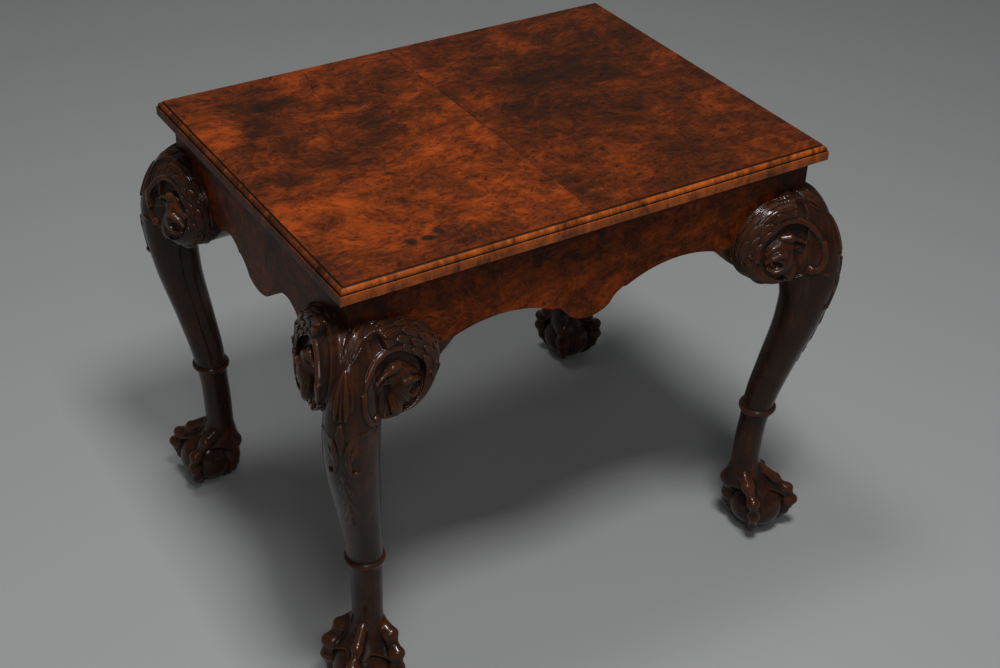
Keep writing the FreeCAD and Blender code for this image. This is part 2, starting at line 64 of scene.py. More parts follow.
# ---- node trees
def srgb(red: int, green: int, blue: int) -> Colour:
    """Linear colour from its 8-bit display values.

    Args:
        red, green, blue: Display values from 0 to 255.

    Returns:
        The three linear channels.
    """
    def linear(value: int) -> float:
        """One channel made linear."""
        share = value / 255
        return share / 12.92 if share <= 0.04045 else ((share + 0.055) / 1.055) ** 2.4

    return linear(red), linear(green), linear(blue)


class Wire:
    """An output socket of a tree, on which Python's operators add Math nodes."""

    def __init__(self, tree: "Tree", socket: bpy.types.NodeSocket) -> None:
        """Keep the socket and the tree that it belongs to."""
        self.tree = tree
        self.socket = socket

    def _math(self, operation: str, *terms: "Term") -> "Wire":
        """Add one Math node over the given terms."""
        settings = {"operation": operation}
        return self.tree.node("ShaderNodeMath", settings, dict(enumerate(terms)))

    def __add__(self, other: "Term") -> "Wire":
        """Sum."""
        return self._math("ADD", self, other)

    __radd__ = __add__

    def __sub__(self, other: "Term") -> "Wire":
        """Difference."""
        return self._math("SUBTRACT", self, other)

    def __rsub__(self, other: "Term") -> "Wire":
        """Difference, the other way round."""
        return self._math("SUBTRACT", other, self)

    def __mul__(self, other: "Term") -> "Wire":
        """Product."""
        return self._math("MULTIPLY", self, other)

    __rmul__ = __mul__

    def __truediv__(self, other: "Term") -> "Wire":
        """Quotient."""
        return self._math("DIVIDE", self, other)

    def __pow__(self, other: "Term") -> "Wire":
        """Power."""
        return self._math("POWER", self, other)

    def most(self, other: "Term") -> "Wire":
        """Larger of the two."""
        return self._math("MAXIMUM", self, other)

    def size(self) -> "Wire":
        """Absolute value."""
        return self._math("ABSOLUTE", self)


Term = Union[Wire, float, int]


class Tree:
    """A node tree being built, for a material or for a shape."""

    def __init__(self, tree: bpy.types.NodeTree) -> None:
        """Keep the tree."""
        self.tree = tree

    def node(
        self,
        kind: str,
        settings: Optional[Mapping[str, object]] = None,
        inputs: Optional[Mapping[Union[str, int], object]] = None,
        output: Union[str, int] = 0,
    ) -> Wire:
        """Add a node.

        Args:
            kind: Blender's name for the node's type.
            settings: Properties of the node; "stops" sets a ramp's positions and colours.
            inputs: Values or wires by socket name or number.
            output: The output that is wanted.

        Returns:
            The wanted output.
        """
        made = self.tree.nodes.new(kind)
        for key, value in (settings or {}).items():
            if key == "stops":
                self._set_stops(made.color_ramp, value)
            else:
                setattr(made, key, value)
        for key, value in (inputs or {}).items():
            self.feed(made.inputs[key], value)
        return Wire(self, made.outputs[output])

    def _set_stops(self, ramp: bpy.types.ColorRamp, stops: Sequence) -> None:
        """Give a colour ramp its stops, in order.

        Args:
            ramp: The ramp.
            stops: Position and colour of each stop.
        """
        for _ in range(len(stops) - len(ramp.elements)):
            ramp.elements.new(1.0)
        for element, (position, colour) in zip(ramp.elements, stops):
            element.position = position
            element.color = (*colour, 1.0)

    def feed(self, socket: bpy.types.NodeSocket, value: object) -> None:
        """Link a wire to an input, or set its value.

        Args:
            socket: The input.
            value: A wire, or a value of the kind that the input takes.
        """
        if isinstance(value, Wire):
            self.tree.links.new(value.socket, socket)
        elif socket.type == "RGBA":
            socket.default_value = (*value, 1.0)
        else:
            socket.default_value = value

    def vector(self, operation: str, *terms: object) -> Wire:
        """Add one Vector Math node over the given vectors."""
        return self.node("ShaderNodeVectorMath", {"operation": operation}, dict(enumerate(terms)))

    def axis(self, spot: Wire, name: str) -> Wire:
        """One component, X, Y or Z, of a vector."""
        return self.node("ShaderNodeSeparateXYZ", None, {0: spot}, name)

    def step(self, value: Wire, low: float, high: float) -> Wire:
        """Smooth step from 0 at low to 1 at high; high may be the smaller.

        Args:
            value: The value.
            low: Where the step starts.
            high: Where it ends.

        Returns:
            The step.
        """
        if low > high:
            return 1.0 - self.step(value, high, low)
        inputs = {"Value": value, "From Min": low, "From Max": high}
        return self.node("ShaderNodeMapRange", {"interpolation_type": "SMOOTHSTEP"}, inputs)


class Recipe(Tree):
    """A material being built round its Principled shader."""

    def __init__(self, name: str) -> None:
        """Start an empty material.

        Args:
            name: The material's name.
        """
        self.material = bpy.data.materials.new(name)
        self.material.use_nodes = True
        super().__init__(self.material.node_tree)
        self.shader = self.tree.nodes["Principled BSDF"]

    def place(self, scale: Sequence[float] = (1, 1, 1), shift: Sequence[float] = (0, 0, 0)) -> Wire:
        """Object coordinates, scaled along the axes.

        Args:
            scale: Pattern repeats per metre along X, Y and Z.
            shift: Offset of the pattern after scaling.

        Returns:
            The vector.
        """
        spot = self.node("ShaderNodeTexCoord", output="Object")
        return self.node("ShaderNodeMapping", None, {"Vector": spot, "Scale": scale, "Location": shift})

    def noise(
        self, spot: Wire, scale: float, detail: float = 3.0, rough: float = 0.5, twist: float = 0.0
    ) -> Wire:
        """Fractal noise between 0 and 1.

        Args:
            spot: Where to read it.
            scale: Cells per unit of the coordinates.
            detail: Octaves.
            rough: Weight of the finer octaves.
            twist: Distortion.

        Returns:
            The value.
        """
        inputs = {"Vector": spot, "Scale": scale, "Detail": detail, "Roughness": rough, "Distortion": twist}
        return self.node("ShaderNodeTexNoise", None, inputs)

    def warp(self, spot: Wire, scale: float, reach: float) -> Wire:
        """Coordinates pushed about by slow noise.

        Args:
            spot: The coordinates.
            scale: Cells of the noise per unit.
            reach: How far it pushes.

        Returns:
            The pushed coordinates.
        """
        inputs = {"Vector": spot, "Scale": scale, "Detail": 2.0}
        push = self.node("ShaderNodeTexNoise", None, inputs, "Color")
        centred = self.vector("SUBTRACT", push, (0.5, 0.5, 0.5))
        scaled = self.node("ShaderNodeVectorMath", {"operation": "SCALE"}, {0: centred, "Scale": reach})
        return self.vector("ADD", spot, scaled)

    def blend(self, factor: Term, first: object, second: object, how: str = "MIX") -> Wire:
        """Mix two colours.

        Args:
            factor: Share of the second colour, or strength of the blend.
            first: Colour or wire.
            second: Colour or wire.
            how: Blender's name for the blend.

        Returns:
            The mixed colour.
        """
        settings = {"data_type": "RGBA", "blend_type": how}
        return self.node("ShaderNodeMix", settings, {0: factor, 6: first, 7: second}, 2)

    def ramp(self, value: Wire, stops: Sequence) -> Wire:
        """Colour from a value, by a ramp's stops."""
        return self.node("ShaderNodeValToRGB", {"stops": stops}, {0: value})

    def bump(self, height: Wire, depth: float) -> Wire:
        """Normal from a height between 0 and 1 that stands for a depth in metres."""
        return self.node("ShaderNodeBump", None, {"Height": height, "Distance": depth, "Strength": 1.0})

    def finish(
        self, colour: Wire, roughness: Term, normal: Wire, constants: Mapping[str, float]
    ) -> bpy.types.Material:
        """Wire up the shader.

        Args:
            colour: Base colour.
            roughness: Roughness.
            normal: Normal.
            constants: Values for the shader's other inputs, by name.

        Returns:
            The material.
        """
        wires = {"Base Color": colour, "Roughness": roughness, "Normal": normal}
        for name, value in {**wires, **constants}.items():
            self.feed(self.shader.inputs[name], value)
        return self.material


class Jig(Tree):
    """A Geometry Nodes tree that makes one kind of swept or repeated part."""

    def __init__(self, name: str, inputs: Mapping[str, str]) -> None:
        """Start a tree.

        Args:
            name: The tree's name.
            inputs: The kind of each input by its name, such as "Float", "Int" or "Object".
        """
        group = bpy.data.node_groups.new(name, "GeometryNodeTree")
        super().__init__(group)
        ends = {"INPUT": {"Start": "Geometry", **inputs}, "OUTPUT": {"Shape": "Geometry"}}
        for way, sockets in ends.items():
            for label, kind in sockets.items():
                group.interface.new_socket(label, in_out=way, socket_type="NodeSocket" + kind)
        self.entry = group.nodes.new("NodeGroupInput")
        self.exit = group.nodes.new("NodeGroupOutput")

    def given(self, label: str) -> Wire:
        """The wire of a named input."""
        return Wire(self, self.entry.outputs[label])

    def point(self, x: Term = 0.0, y: Term = 0.0, z: Term = 0.0) -> Wire:
        """A vector from three numbers."""
        return self.node("ShaderNodeCombineXYZ", None, {"X": x, "Y": y, "Z": z})

    def deliver(self, shape: Wire, finish: bpy.types.Material) -> None:
        """Realize a shape, give it its material and send it out."""
        real = self.node("GeometryNodeRealizeInstances", None, {"Geometry": shape})
        dressed = self.node("GeometryNodeSetMaterial", None, {"Geometry": real, "Material": finish})
        self.feed(self.exit.inputs["Shape"], dressed)

    def run(self, name: str, start: bpy.types.Mesh, values: Mapping[str, object]) -> bpy.types.Object:
        """Make one piece.

        Args:
            name: The piece's name.
            start: Mesh that the tree starts from.
            values: The inputs' values by name.

        Returns:
            The piece, as a plain mesh at the origin.
        """
        piece = bpy.data.objects.new(name, start)
        bpy.context.scene.collection.objects.link(piece)
        modifier = piece.modifiers.new("jig", "NODES")
        modifier.node_group = self.tree
        for socket in self.tree.interface.items_tree:
            if socket.in_out == "INPUT" and socket.name in values:
                modifier[socket.identifier] = values[socket.name]
        shaped = piece.evaluated_get(bpy.context.evaluated_depsgraph_get())
        mesh = bpy.data.meshes.new_from_object(shaped)
        piece.modifiers.remove(modifier)
        piece.data = mesh
        return piece


# ---- finishes
class Lie(Enum):
    """Axis that a timber's grain or a facing's run follows."""

    X = "X"
    Y = "Y"
    Z = "Z"

    def stretched(self, along: float, across: float) -> tuple[float, ...]:
        """Scale along the axes for a pattern that is drawn out along this one."""
        return tuple(along if axis is self else across for axis in Lie)


@dataclass(frozen=True)
class Polish:
    """Shellac polish over a timber."""

    gloss: float = 0.30         # roughness of a clean, flat face
    scatter: float = 0.14       # added where the polish is worn or dirty
    coat: float = 0.10
    coat_roughness: float = 0.14
    specular: float = 0.12

    def constants(self) -> dict[str, float]:
        """Inputs of the shader that are the same all over."""
        return {
            "Coat Weight": self.coat,
            "Coat Roughness": self.coat_roughness,
            "Specular IOR Level": self.specular,
        }


@dataclass(frozen=True)
class Cloud:
    """Broad dark or pale zone of a veneer leaf, in metres from the table's middle; partly painted reflection
    and sheen.
    """

    x: float
    y: float
    reach: float
    strength: float             # negative darkens


@dataclass(frozen=True)
class Knot:
    """Black knot or the end of a shake in the veneer."""

    x: float
    y: float
    reach: float


@dataclass(frozen=True)
class Shake:
    """Hairline crack or joint in the veneer between two points."""

    x0: float
    y0: float
    x1: float
    y1: float


@dataclass(frozen=True)
class BurrWalnut:
    """Burr veneer: orange ground, dark clouds partly of painted reflection, swirling fine figure and pin
    knots.
    """

    name: str
    pale: Colour
    ground: Colour
    brown: Colour
    ink: Colour
    seed: float
    soot: Colour = srgb(20, 16, 13)     # of knots and open joints
    clouds: tuple[Cloud, ...] = ()
    knots: tuple[Knot, ...] = ()
    shakes: tuple[Shake, ...] = ()
    figure: tuple[float, float, float] = (1.0, 1.0, 1.0)    # stretch of the figure along the axes
    polish: Polish = Polish()

    def build(self) -> bpy.types.Material:
        """Make the material.

        Returns:
            The material.
        """
        r = Recipe(self.name)
        spot = r.place(self.figure, (self.seed, self.seed * 1.7, self.seed * 0.6))
        swirl = r.warp(spot, 9.0, 0.055)
        curl = r.warp(swirl, 42.0, 0.014)
        slow = r.noise(swirl, 12.0, 3.0, 0.55)
        mottle = r.noise(curl, 46.0, 5.0, 0.62, 0.4)
        fine = r.noise(curl, 190.0, 4.0, 0.6, 0.8)
        grit = r.noise(spot, 1100.0, 2.0, 0.6)
        tone = slow * 0.27 + mottle * 0.46 + fine * 0.26 + 0.01
        # Clouds: broad dark and pale zones, partly the burr's figure and partly painted reflection and
        # sheen.
        for cloud in self.clouds:
            tone = tone + self._zone(r, swirl, cloud) * cloud.strength
        streaks = r.step(r.noise(r.warp(curl, 25.0, 0.03), 70.0, 4.0, 0.6, 2.4), 0.56, 0.70)
        tone = tone - streaks * 0.10
        stops = ((0.32, self.ink), (0.42, self.brown), (0.53, self.ground), (0.67, self.pale))
        colour = r.ramp(tone, stops)
        smudges = r.step(r.noise(r.warp(spot, 60.0, 0.008), 96.0, 5.0, 0.66), 0.525, 0.575)
        colour = r.blend(smudges * r.step(tone, 0.62, 0.42) * 0.62, colour, self.brown)
        freckles = r.step(r.noise(curl, 230.0, 3.0, 0.7), 0.55, 0.60)
        colour = r.blend(freckles * r.step(tone, 0.66, 0.42) * 0.50, colour, self.ink)
        eyes = self._pin_knots(r, curl, slow)
        colour = r.blend(eyes * 0.78, colour, self.ink)
        marks = self._marks(r)
        if marks is not None:
            colour = r.blend(marks * 0.85, colour, self.soot)
        colour = r.blend(grit * 0.16, colour, self.pale, "OVERLAY")
        rough = self.polish.gloss + self.polish.scatter * r.noise(spot, 30.0, 4.0, 0.65)
        height = 0.72 + 0.06 * fine - 0.10 * eyes + 0.10 * r.noise(spot, 16.0, 2.0)
        if marks is not None:
            height = height - 0.30 * marks
        return r.finish(colour, rough, r.bump(height, 0.0006), self.polish.constants())

    def _zone(self, r: Recipe, swirl: Wire, cloud: Cloud) -> Wire:
        """Soft round mask, 1 at a cloud's middle.

        Args:
            r: The material.
            swirl: Where to read the mask.
            cloud: The cloud.

        Returns:
            The mask.
        """
        shift = (self.seed, self.seed * 1.7)
        moved = [v * s + o for v, s, o in zip((cloud.x, cloud.y), self.figure, shift)]
        flat = r.node("ShaderNodeVectorMath", {"operation": "MULTIPLY"}, {0: swirl, 1: (1, 1, 0)})
        away = r.node("ShaderNodeVectorMath", {"operation": "DISTANCE"}, {0: flat, 1: (*moved, 0)}, "Value")
        return r.step(away, cloud.reach, 0.0)

    def _pin_knots(self, r: Recipe, curl: Wire, slow: Wire) -> Wire:
        """Scattered pin knots, in clusters."""
        inputs = {"Vector": curl, "Scale": 120.0, "Randomness": 1.0}
        cells = r.node("ShaderNodeTexVoronoi", None, inputs, "Distance")
        return r.step(cells, 0.26, 0.10) * r.step(slow, 0.50, 0.60)

    def _marks(self, r: Recipe) -> Optional[Wire]:
        """Knots, shakes and joints at their own places, or nothing.

        Args:
            r: The material.

        Returns:
            The mask of all the marks.
        """
        found = None
        here = r.warp(r.node("ShaderNodeTexCoord", output="Object"), 60.0, 0.010)
        x, y = r.axis(here, "X"), r.axis(here, "Y")
        for knot in self.knots:
            away = ((x - knot.x) ** 2 + (y - knot.y) ** 2) ** 0.5
            mark = r.step(away, knot.reach, knot.reach * 0.5)
            found = mark if found is None else found.most(mark)
        for shake in self.shakes:
            length = math.hypot(shake.x1 - shake.x0, shake.y1 - shake.y0)
            ux, uy = (shake.x1 - shake.x0) / length, (shake.y1 - shake.y0) / length
            along = (x - shake.x0) * ux + (y - shake.y0) * uy
            beside = ((x - shake.x0) * uy - (y - shake.y0) * ux).size()
            beyond = (along - length / 2).size() - length / 2
            mark = r.step(beside, 0.0007, 0.0002) * r.step(beyond, 0.001, -0.003)
            found = mark if found is None else found.most(mark)
        return found


@dataclass(frozen=True)
class CrossGrain:
    """Golden cross-grained facing of the mouldings, in short lengths."""

    name: str
    run: Lie
    gold: Colour = srgb(164, 80, 24)
    amber: Colour = srgb(124, 59, 16)
    rust: Colour = srgb(66, 29, 10)
    # Near black of the painted shade in the moulding's creases.
    soot: Colour = srgb(16, 10, 7)
    seed: float = 3.0
    polish: Polish = Polish(gloss=0.27, coat=0.25)

    def build(self) -> bpy.types.Material:
        """Make the material.

        Returns:
            The material.
        """
        r = Recipe(self.name)
        along = r.place(self.run.stretched(1.0, 0.42), (self.seed, self.seed, self.seed))
        lengths = r.noise(r.place(self.run.stretched(1.0, 0.0), (self.seed, 0, 0)), 22.0, 1.0)
        ticks = r.noise(along, 420.0, 3.0, 0.6)
        bands = r.noise(r.warp(along, 24.0, 0.03), 74.0, 5.0, 0.64, 0.9)
        tone = lengths * 0.20 + bands * 0.72 + ticks * 0.14 - 0.01
        colour = r.ramp(tone, ((0.38, self.rust), (0.50, self.amber), (0.62, self.gold)))
        colour = r.blend(r.step(ticks, 0.60, 0.72) * 0.22, colour, self.rust)
        # Painted shade darkens the quirk and the crease under the top's step; a painted highlight lightens
        # the band's arris.
        dirt = r.node("ShaderNodeAttribute", {"attribute_name": "dirt"}, None, "Fac")
        darkening = r.step(dirt + r.noise(r.place(), 90.0, 3.0) * 0.30, 0.28, 0.72)
        colour = r.blend(darkening * 0.94, colour, self.soot)
        # Painted highlight on the band's arris.
        colour = r.blend(r.step(dirt, -0.2, -0.8) * 0.55, colour, self.gold)
        rough = self.polish.gloss + self.polish.scatter * r.noise(r.place(), 50.0, 3.0) + 0.25 * darkening
        height = 0.6 + 0.22 * ticks - 0.1 * r.noise(r.place(), 700.0, 2.0)
        return r.finish(colour, rough, r.bump(height, 0.00025), self.polish.constants())


@dataclass(frozen=True)
class CarvedWalnut:
    """Dark polished walnut, lighter on its ridges from wear and painted highlight, and black in its hollows.
    """

    name: str
    ridge: Colour = srgb(84, 44, 22)
    body: Colour = srgb(46, 25, 14)
    shade: Colour = srgb(29, 17, 11)
    hollow: Colour = srgb(14, 9, 6)
    polish: Polish = Polish(gloss=0.20, scatter=0.12, coat=0.26, coat_roughness=0.07, specular=0.12)

    def build(self) -> bpy.types.Material:
        """Make the material.

        Returns:
            The material.
        """
        r = Recipe(self.name)
        spot = r.place()
        grain = r.place(Lie.Z.stretched(0.16, 1.0))
        relief = r.node("ShaderNodeAttribute", {"attribute_name": "relief"}, None, "Fac")
        slow = r.noise(r.warp(spot, 9.0, 0.05), 22.0, 4.0, 0.55)
        figure = r.noise(r.warp(grain, 30.0, 0.012), 150.0, 4.0, 0.6, 0.7)
        pores = r.step(r.noise(grain, 900.0, 2.0, 0.5), 0.62, 0.70)
        tone = slow * 0.55 + figure * 0.45
        colour = r.ramp(tone, ((0.36, self.shade), (0.54, self.body), (0.76, self.ridge)))
        # Lighter towards the ridge colour on raised forms: wear, and a painted highlight.
        rubbed = r.step(relief + slow * 0.4 - 0.2, 0.10, 0.75)
        colour = r.blend(rubbed * 0.36, colour, self.ridge)
        # Darker towards the hollow colour in the hollows, by the relief attribute.
        darkening = r.step(relief + slow * 0.5 - 0.25, -0.08, -0.70)
        colour = r.blend(darkening * 0.70, colour, self.hollow)
        colour = r.blend(pores * 0.25, colour, self.hollow)
        rough = self.polish.gloss + self.polish.scatter * slow + 0.30 * darkening
        height = 0.6 - 0.12 * pores + 0.10 * figure + 0.12 * r.noise(spot, 260.0, 3.0)
        return r.finish(colour, rough, r.bump(height, 0.0003), self.polish.constants())


@dataclass(frozen=True)
class PlainTimber:
    """Unpolished timber of the hidden pieces, darkened by age."""

    name: str
    run: Lie
    pale: Colour
    dark: Colour
    rings: float = 55.0
    roughness: float = 0.66

    def build(self) -> bpy.types.Material:
        """Make the material.

        Returns:
            The material.
        """
        r = Recipe(self.name)
        spot = r.place()
        grain = r.place(self.run.stretched(0.08, 1.0))
        warped = r.warp(grain, 14.0, 0.02)
        rings = r.noise(warped, self.rings * 3.0, 3.0, 0.55, 0.6)
        fibres = r.noise(grain, 1300.0, 2.0, 0.6)
        age = r.noise(spot, 11.0, 4.0, 0.6)
        colour = r.blend(r.step(rings, 0.40, 0.66), self.pale, self.dark)
        colour = r.blend(r.step(fibres, 0.55, 0.75) * 0.5, colour, self.dark)
        colour = r.blend(r.step(age, 0.45, 0.75) * 0.45, colour, self.dark, "MULTIPLY")
        rough = self.roughness + 0.16 * fibres
        height = 0.5 - 0.3 * fibres + 0.2 * rings
        return r.finish(colour, rough, r.bump(height, 0.0004), {"Specular IOR Level": 0.3})


@dataclass(frozen=True)
class OldSteel:
    """Dull steel of old screws, with rust in patches."""

    name: str
    metal: Colour = srgb(120, 114, 106)
    rust: Colour = srgb(78, 44, 26)

    def build(self) -> bpy.types.Material:
        """Make the material.

        Returns:
            The material.
        """
        r = Recipe(self.name)
        spot = r.place()
        patches = r.step(r.noise(spot, 420.0, 4.0, 0.6), 0.46, 0.62)
        scratches = r.noise(r.place((0.2, 1.0, 1.0)), 2600.0, 2.0)
        colour = r.blend(patches, self.metal, self.rust)
        rough = 0.34 + 0.40 * patches + 0.10 * scratches
        normal = r.bump(0.5 + 0.3 * patches - 0.2 * scratches, 0.00015)
        return r.finish(colour, rough, normal, {"Metallic": 1.0})


@dataclass(frozen=True)
class PaintedFloor:
    """Plain pale floor."""

    name: str = "pale_floor"
    paint: Colour = srgb(148, 150, 149)
    worn: Colour = srgb(114, 116, 116)
    roughness: float = 0.62

    def build(self) -> bpy.types.Material:
        """Make the material.

        Returns:
            The material.
        """
        r = Recipe(self.name)
        soft = r.noise(r.place(), 2.5, 3.0)
        colour = r.blend(soft * 0.06, self.paint, self.worn)
        normal = r.bump(r.noise(r.place(), 300.0, 2.0), 0.0001)
        return r.finish(colour, self.roughness, normal, {"Specular IOR Level": 0.2})


# ---- pieces
def place(piece: bpy.types.Object, slot: str, *nodes: str) -> None:
    """Let a piece ride with the table and stand for its CAD nodes.

    Args:
        piece: The piece.
        slot: Material slot of the record that it takes its finish from; not used.
        *nodes: The nodes that it stands for.
    """
    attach(piece, "root")
    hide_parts(*nodes)
    LOG.info("%s: %d faces for %s", piece.name, len(piece.data.polygons), ", ".join(nodes))


def dress(finish: bpy.types.Material, *nodes: str) -> None:
    """Give CAD nodes a finish.

    Args:
        finish: The material.
        *nodes: Names of the nodes.
    """
    for name in nodes:
        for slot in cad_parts[name].material_slots:
            slot.material = finish
        LOG.info("%s: %s", name, finish.name)


def scatter(name: str, points: Sequence[Sequence[float]]) -> bpy.types.Mesh:
    """Mesh of loose points, in metres."""
    mesh = bpy.data.meshes.new(name)
    mesh.from_pydata(points, [], [])
    return mesh


class Side(Enum):
    """Side of the table, with its quarter turns from the back."""

    BACK = 0
    LEFT = 1
    FRONT = 2
    RIGHT = 3

    @property
    def word(self) -> str:
        """Name as the nodes have it."""
        return self.name.lower()

    @property
    def long(self) -> bool:
        """Whether it is one of the two long sides."""
        return self in (Side.BACK, Side.FRONT)


@dataclass
class Arris:
    """Corner of a moulding's section: inset from the face, height, and how far it is rounded."""

    inset: float
    level: float
    round: float = 0.0


@dataclass
class EdgeMouldings:
    """Mitred lippings round the top, in millimetres: flat band, quirk and ovolo."""

    height: float = 500.0
    underside: float = 483.0
    width: float = 12.0
    veneer: float = 1.0
    step: float = 1.4           # from the top surface down to the ovolo
    ovolo: float = 4.4
    quirk: float = 1.4
    wear: float = 0.12          # how far handling has moved the arrises
    turns: int = 12             # faces round the ovolo
    lengths: int = 160          # faces along a side

    def section(self) -> list[tuple[float, float]]:
        """Outline of the lipping.

        Returns:
            Points of inset and height, going round it once.
        """
        foot = self.height - self.step - self.ovolo
        flat = self.quirk + self.ovolo
        band_top = foot - self.quirk
        seat = self.height - self.veneer
        corners = [
            Arris(self.width, self.underside),
            Arris(0.0, self.underside, 0.5),
            Arris(0.0, band_top, 0.55),
            Arris(self.quirk, band_top, 0.25),
            Arris(self.quirk, foot, 0.3),
        ]
        points = []
        befores, afters = [corners[-1]] + corners, corners[1:] + [Arris(flat, foot)]
        for before, here, after in zip(befores, corners, afters):
            points += self._rounded(before, here, after)
        for turn in range(1, self.turns + 1):
            angle = math.pi / 2 * turn / self.turns
            points.append((flat - self.ovolo * math.cos(angle), foot + self.ovolo * math.sin(angle)))
        return points + [(flat, seat), (self.width, seat)]

    def _rounded(self, before: Arris, here: Arris, after: Arris) -> list[tuple[float, float]]:
        """Points of one softened corner, as a short curve between its two edges.

        Args:
            before, here, after: The corner and its neighbours.

        Returns:
            The points.
        """
        if not here.round:
            return [(here.inset, here.level)]
        spot = Vector((here.inset, here.level))
        start = (Vector((before.inset, before.level)) - spot).normalized() * here.round
        end = (Vector((after.inset, after.level)) - spot).normalized() * here.round
        shares = (0.0, 0.25, 0.5, 0.75, 1.0)
        return [tuple(spot + start * (1 - t) ** 2 + end * t ** 2) for t in shares]

    def jig(self, finish: bpy.types.Material) -> Jig:
        """Tree that sweeps the section along a side and mitres its ends.

        Args:
            finish: Material of the facing.

        Returns:
            The tree.
        """
        numbers = dict.fromkeys(("Length", "Out", "Turn", "Wear"), "Float")
        jig = Jig("moulding_run", {"Section": "Object", **numbers})
        half = jig.given("Length") * 0.5
        ends = {"Start": jig.point(half * -1.0), "End": jig.point(half)}
        run = jig.node("GeometryNodeCurvePrimitiveLine", None, ends)
        run = jig.node("GeometryNodeResampleCurve", None, {"Curve": run, "Count": self.lengths})
        section = jig.node("GeometryNodeObjectInfo", None, {"Object": jig.given("Section")}, "Geometry")
        inputs = {"Curve": run, "Profile Curve": section, "Fill Caps": True}
        swept = jig.node("GeometryNodeCurveToMesh", None, inputs)
        spot = jig.node("GeometryNodeInputPosition")
        x, inset, level = (jig.axis(spot, name) for name in "XYZ")
        rubbed = jig.node("ShaderNodeTexNoise", None, {"Vector": spot, "Scale": 26.0, "Detail": 4.0})
        outer = jig.step(inset, 0.006, 0.0)
        inset = inset.size()
        spread = x * (1.0 - inset / half)
        wear = (rubbed - 0.5) * outer * jig.given("Wear")
        moved = jig.point(spread, jig.given("Out") - inset - wear, level)
        shaded_lipping = self._dirtied(jig, swept, inset, level)
        placed = jig.node("GeometryNodeSetPosition", None, {"Geometry": shaded_lipping, "Position": moved})
        inputs = {"Geometry": placed, "Rotation": jig.point(z=jig.given("Turn"))}
        jig.deliver(jig.node("GeometryNodeTransform", None, inputs), finish)
        return jig

    def _dirtied(self, jig: Jig, shape: Wire, inset: Wire, level: Wire) -> Wire:
        """Note painted shade and painted highlight on each point: shade in the quirk and under the top's
        step, less than none on the band's arris, where a highlight is painted.

        Args:
            jig: The tree.
            shape: The swept lipping.
            inset, level: Place of each point in the section.

        Returns:
            The shape with its painted shade and highlight noted.
        """
        foot = (self.height - self.step - self.ovolo) * MM
        band_top = foot - self.quirk * MM
        flat = (self.quirk + self.ovolo) * MM
        spot = (inset, level)
        # Painted shade in the quirk and under the top's step, less a painted highlight on the band's arris.
        quirk_shade = self._near(jig, spot, (self.quirk * MM, band_top), (0.0017, 0.0009))
        top = self._near(jig, spot, (flat, foot + self.ovolo * MM), (0.0016, 0.0007))
        rubbed = self._near(jig, spot, (0.0, band_top), (0.0011, 0.0003))
        inputs = {"Geometry": shape, "Name": "dirt", "Value": quirk_shade.most(top) - rubbed}
        return jig.node("GeometryNodeStoreNamedAttribute", {"data_type": "FLOAT"}, inputs)

    def _near(self, jig: Jig, spot: Sequence[Wire], corner: Sequence[float], reach: Sequence[float]) -> Wire:
        """Mask round a corner of the section, 0 from the first distance out and 1 from the second in."""
        away = ((spot[0] - corner[0]) ** 2 + (spot[1] - corner[1]) ** 2) ** 0.5
        return jig.step(away, *reach)

    def build(self, along_x: bpy.types.Material, along_y: bpy.types.Material) -> None:
        """Make the four mouldings.

        Args:
            along_x: Finish of the front and back runs.
            along_y: Finish of the two end runs.
        """
        outline = bpy.data.curves.new("moulding_section", "CURVE")
        outline.dimensions = "2D"
        points = self.section()
        spline = outline.splines.new("POLY")
        spline.points.add(len(points) - 1)
        for knot, (inset, level) in zip(spline.points, points):
            knot.co = (-inset * MM, -level * MM, 0.0, 1.0)
        spline.use_cyclic_u = True
        template = bpy.data.objects.new("moulding_section", outline)
        bpy.context.scene.collection.objects.link(template)
        jigs = {True: self.jig(along_x), False: self.jig(along_y)}
        for side in Side:
            low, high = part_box(f"edge_moulding_{side.word}")
            size = Vector(high) - Vector(low)
            length = size.x if side.long else size.y
            axis = 1 if side.long else 0
            values = {
                "Section": template,
                "Length": length,
                "Out": max(abs(low[axis]), abs(high[axis])),
                "Turn": side.value * math.pi / 2,
                "Wear": self.wear * MM,
            }
            empty = scatter(f"moulding_{side.word}", [])
            piece = jigs[side.long].run(f"moulding_{side.word}", empty, values)
            place(piece, "cross_grain_walnut", f"edge_moulding_{side.word}")
        bpy.data.objects.remove(template)


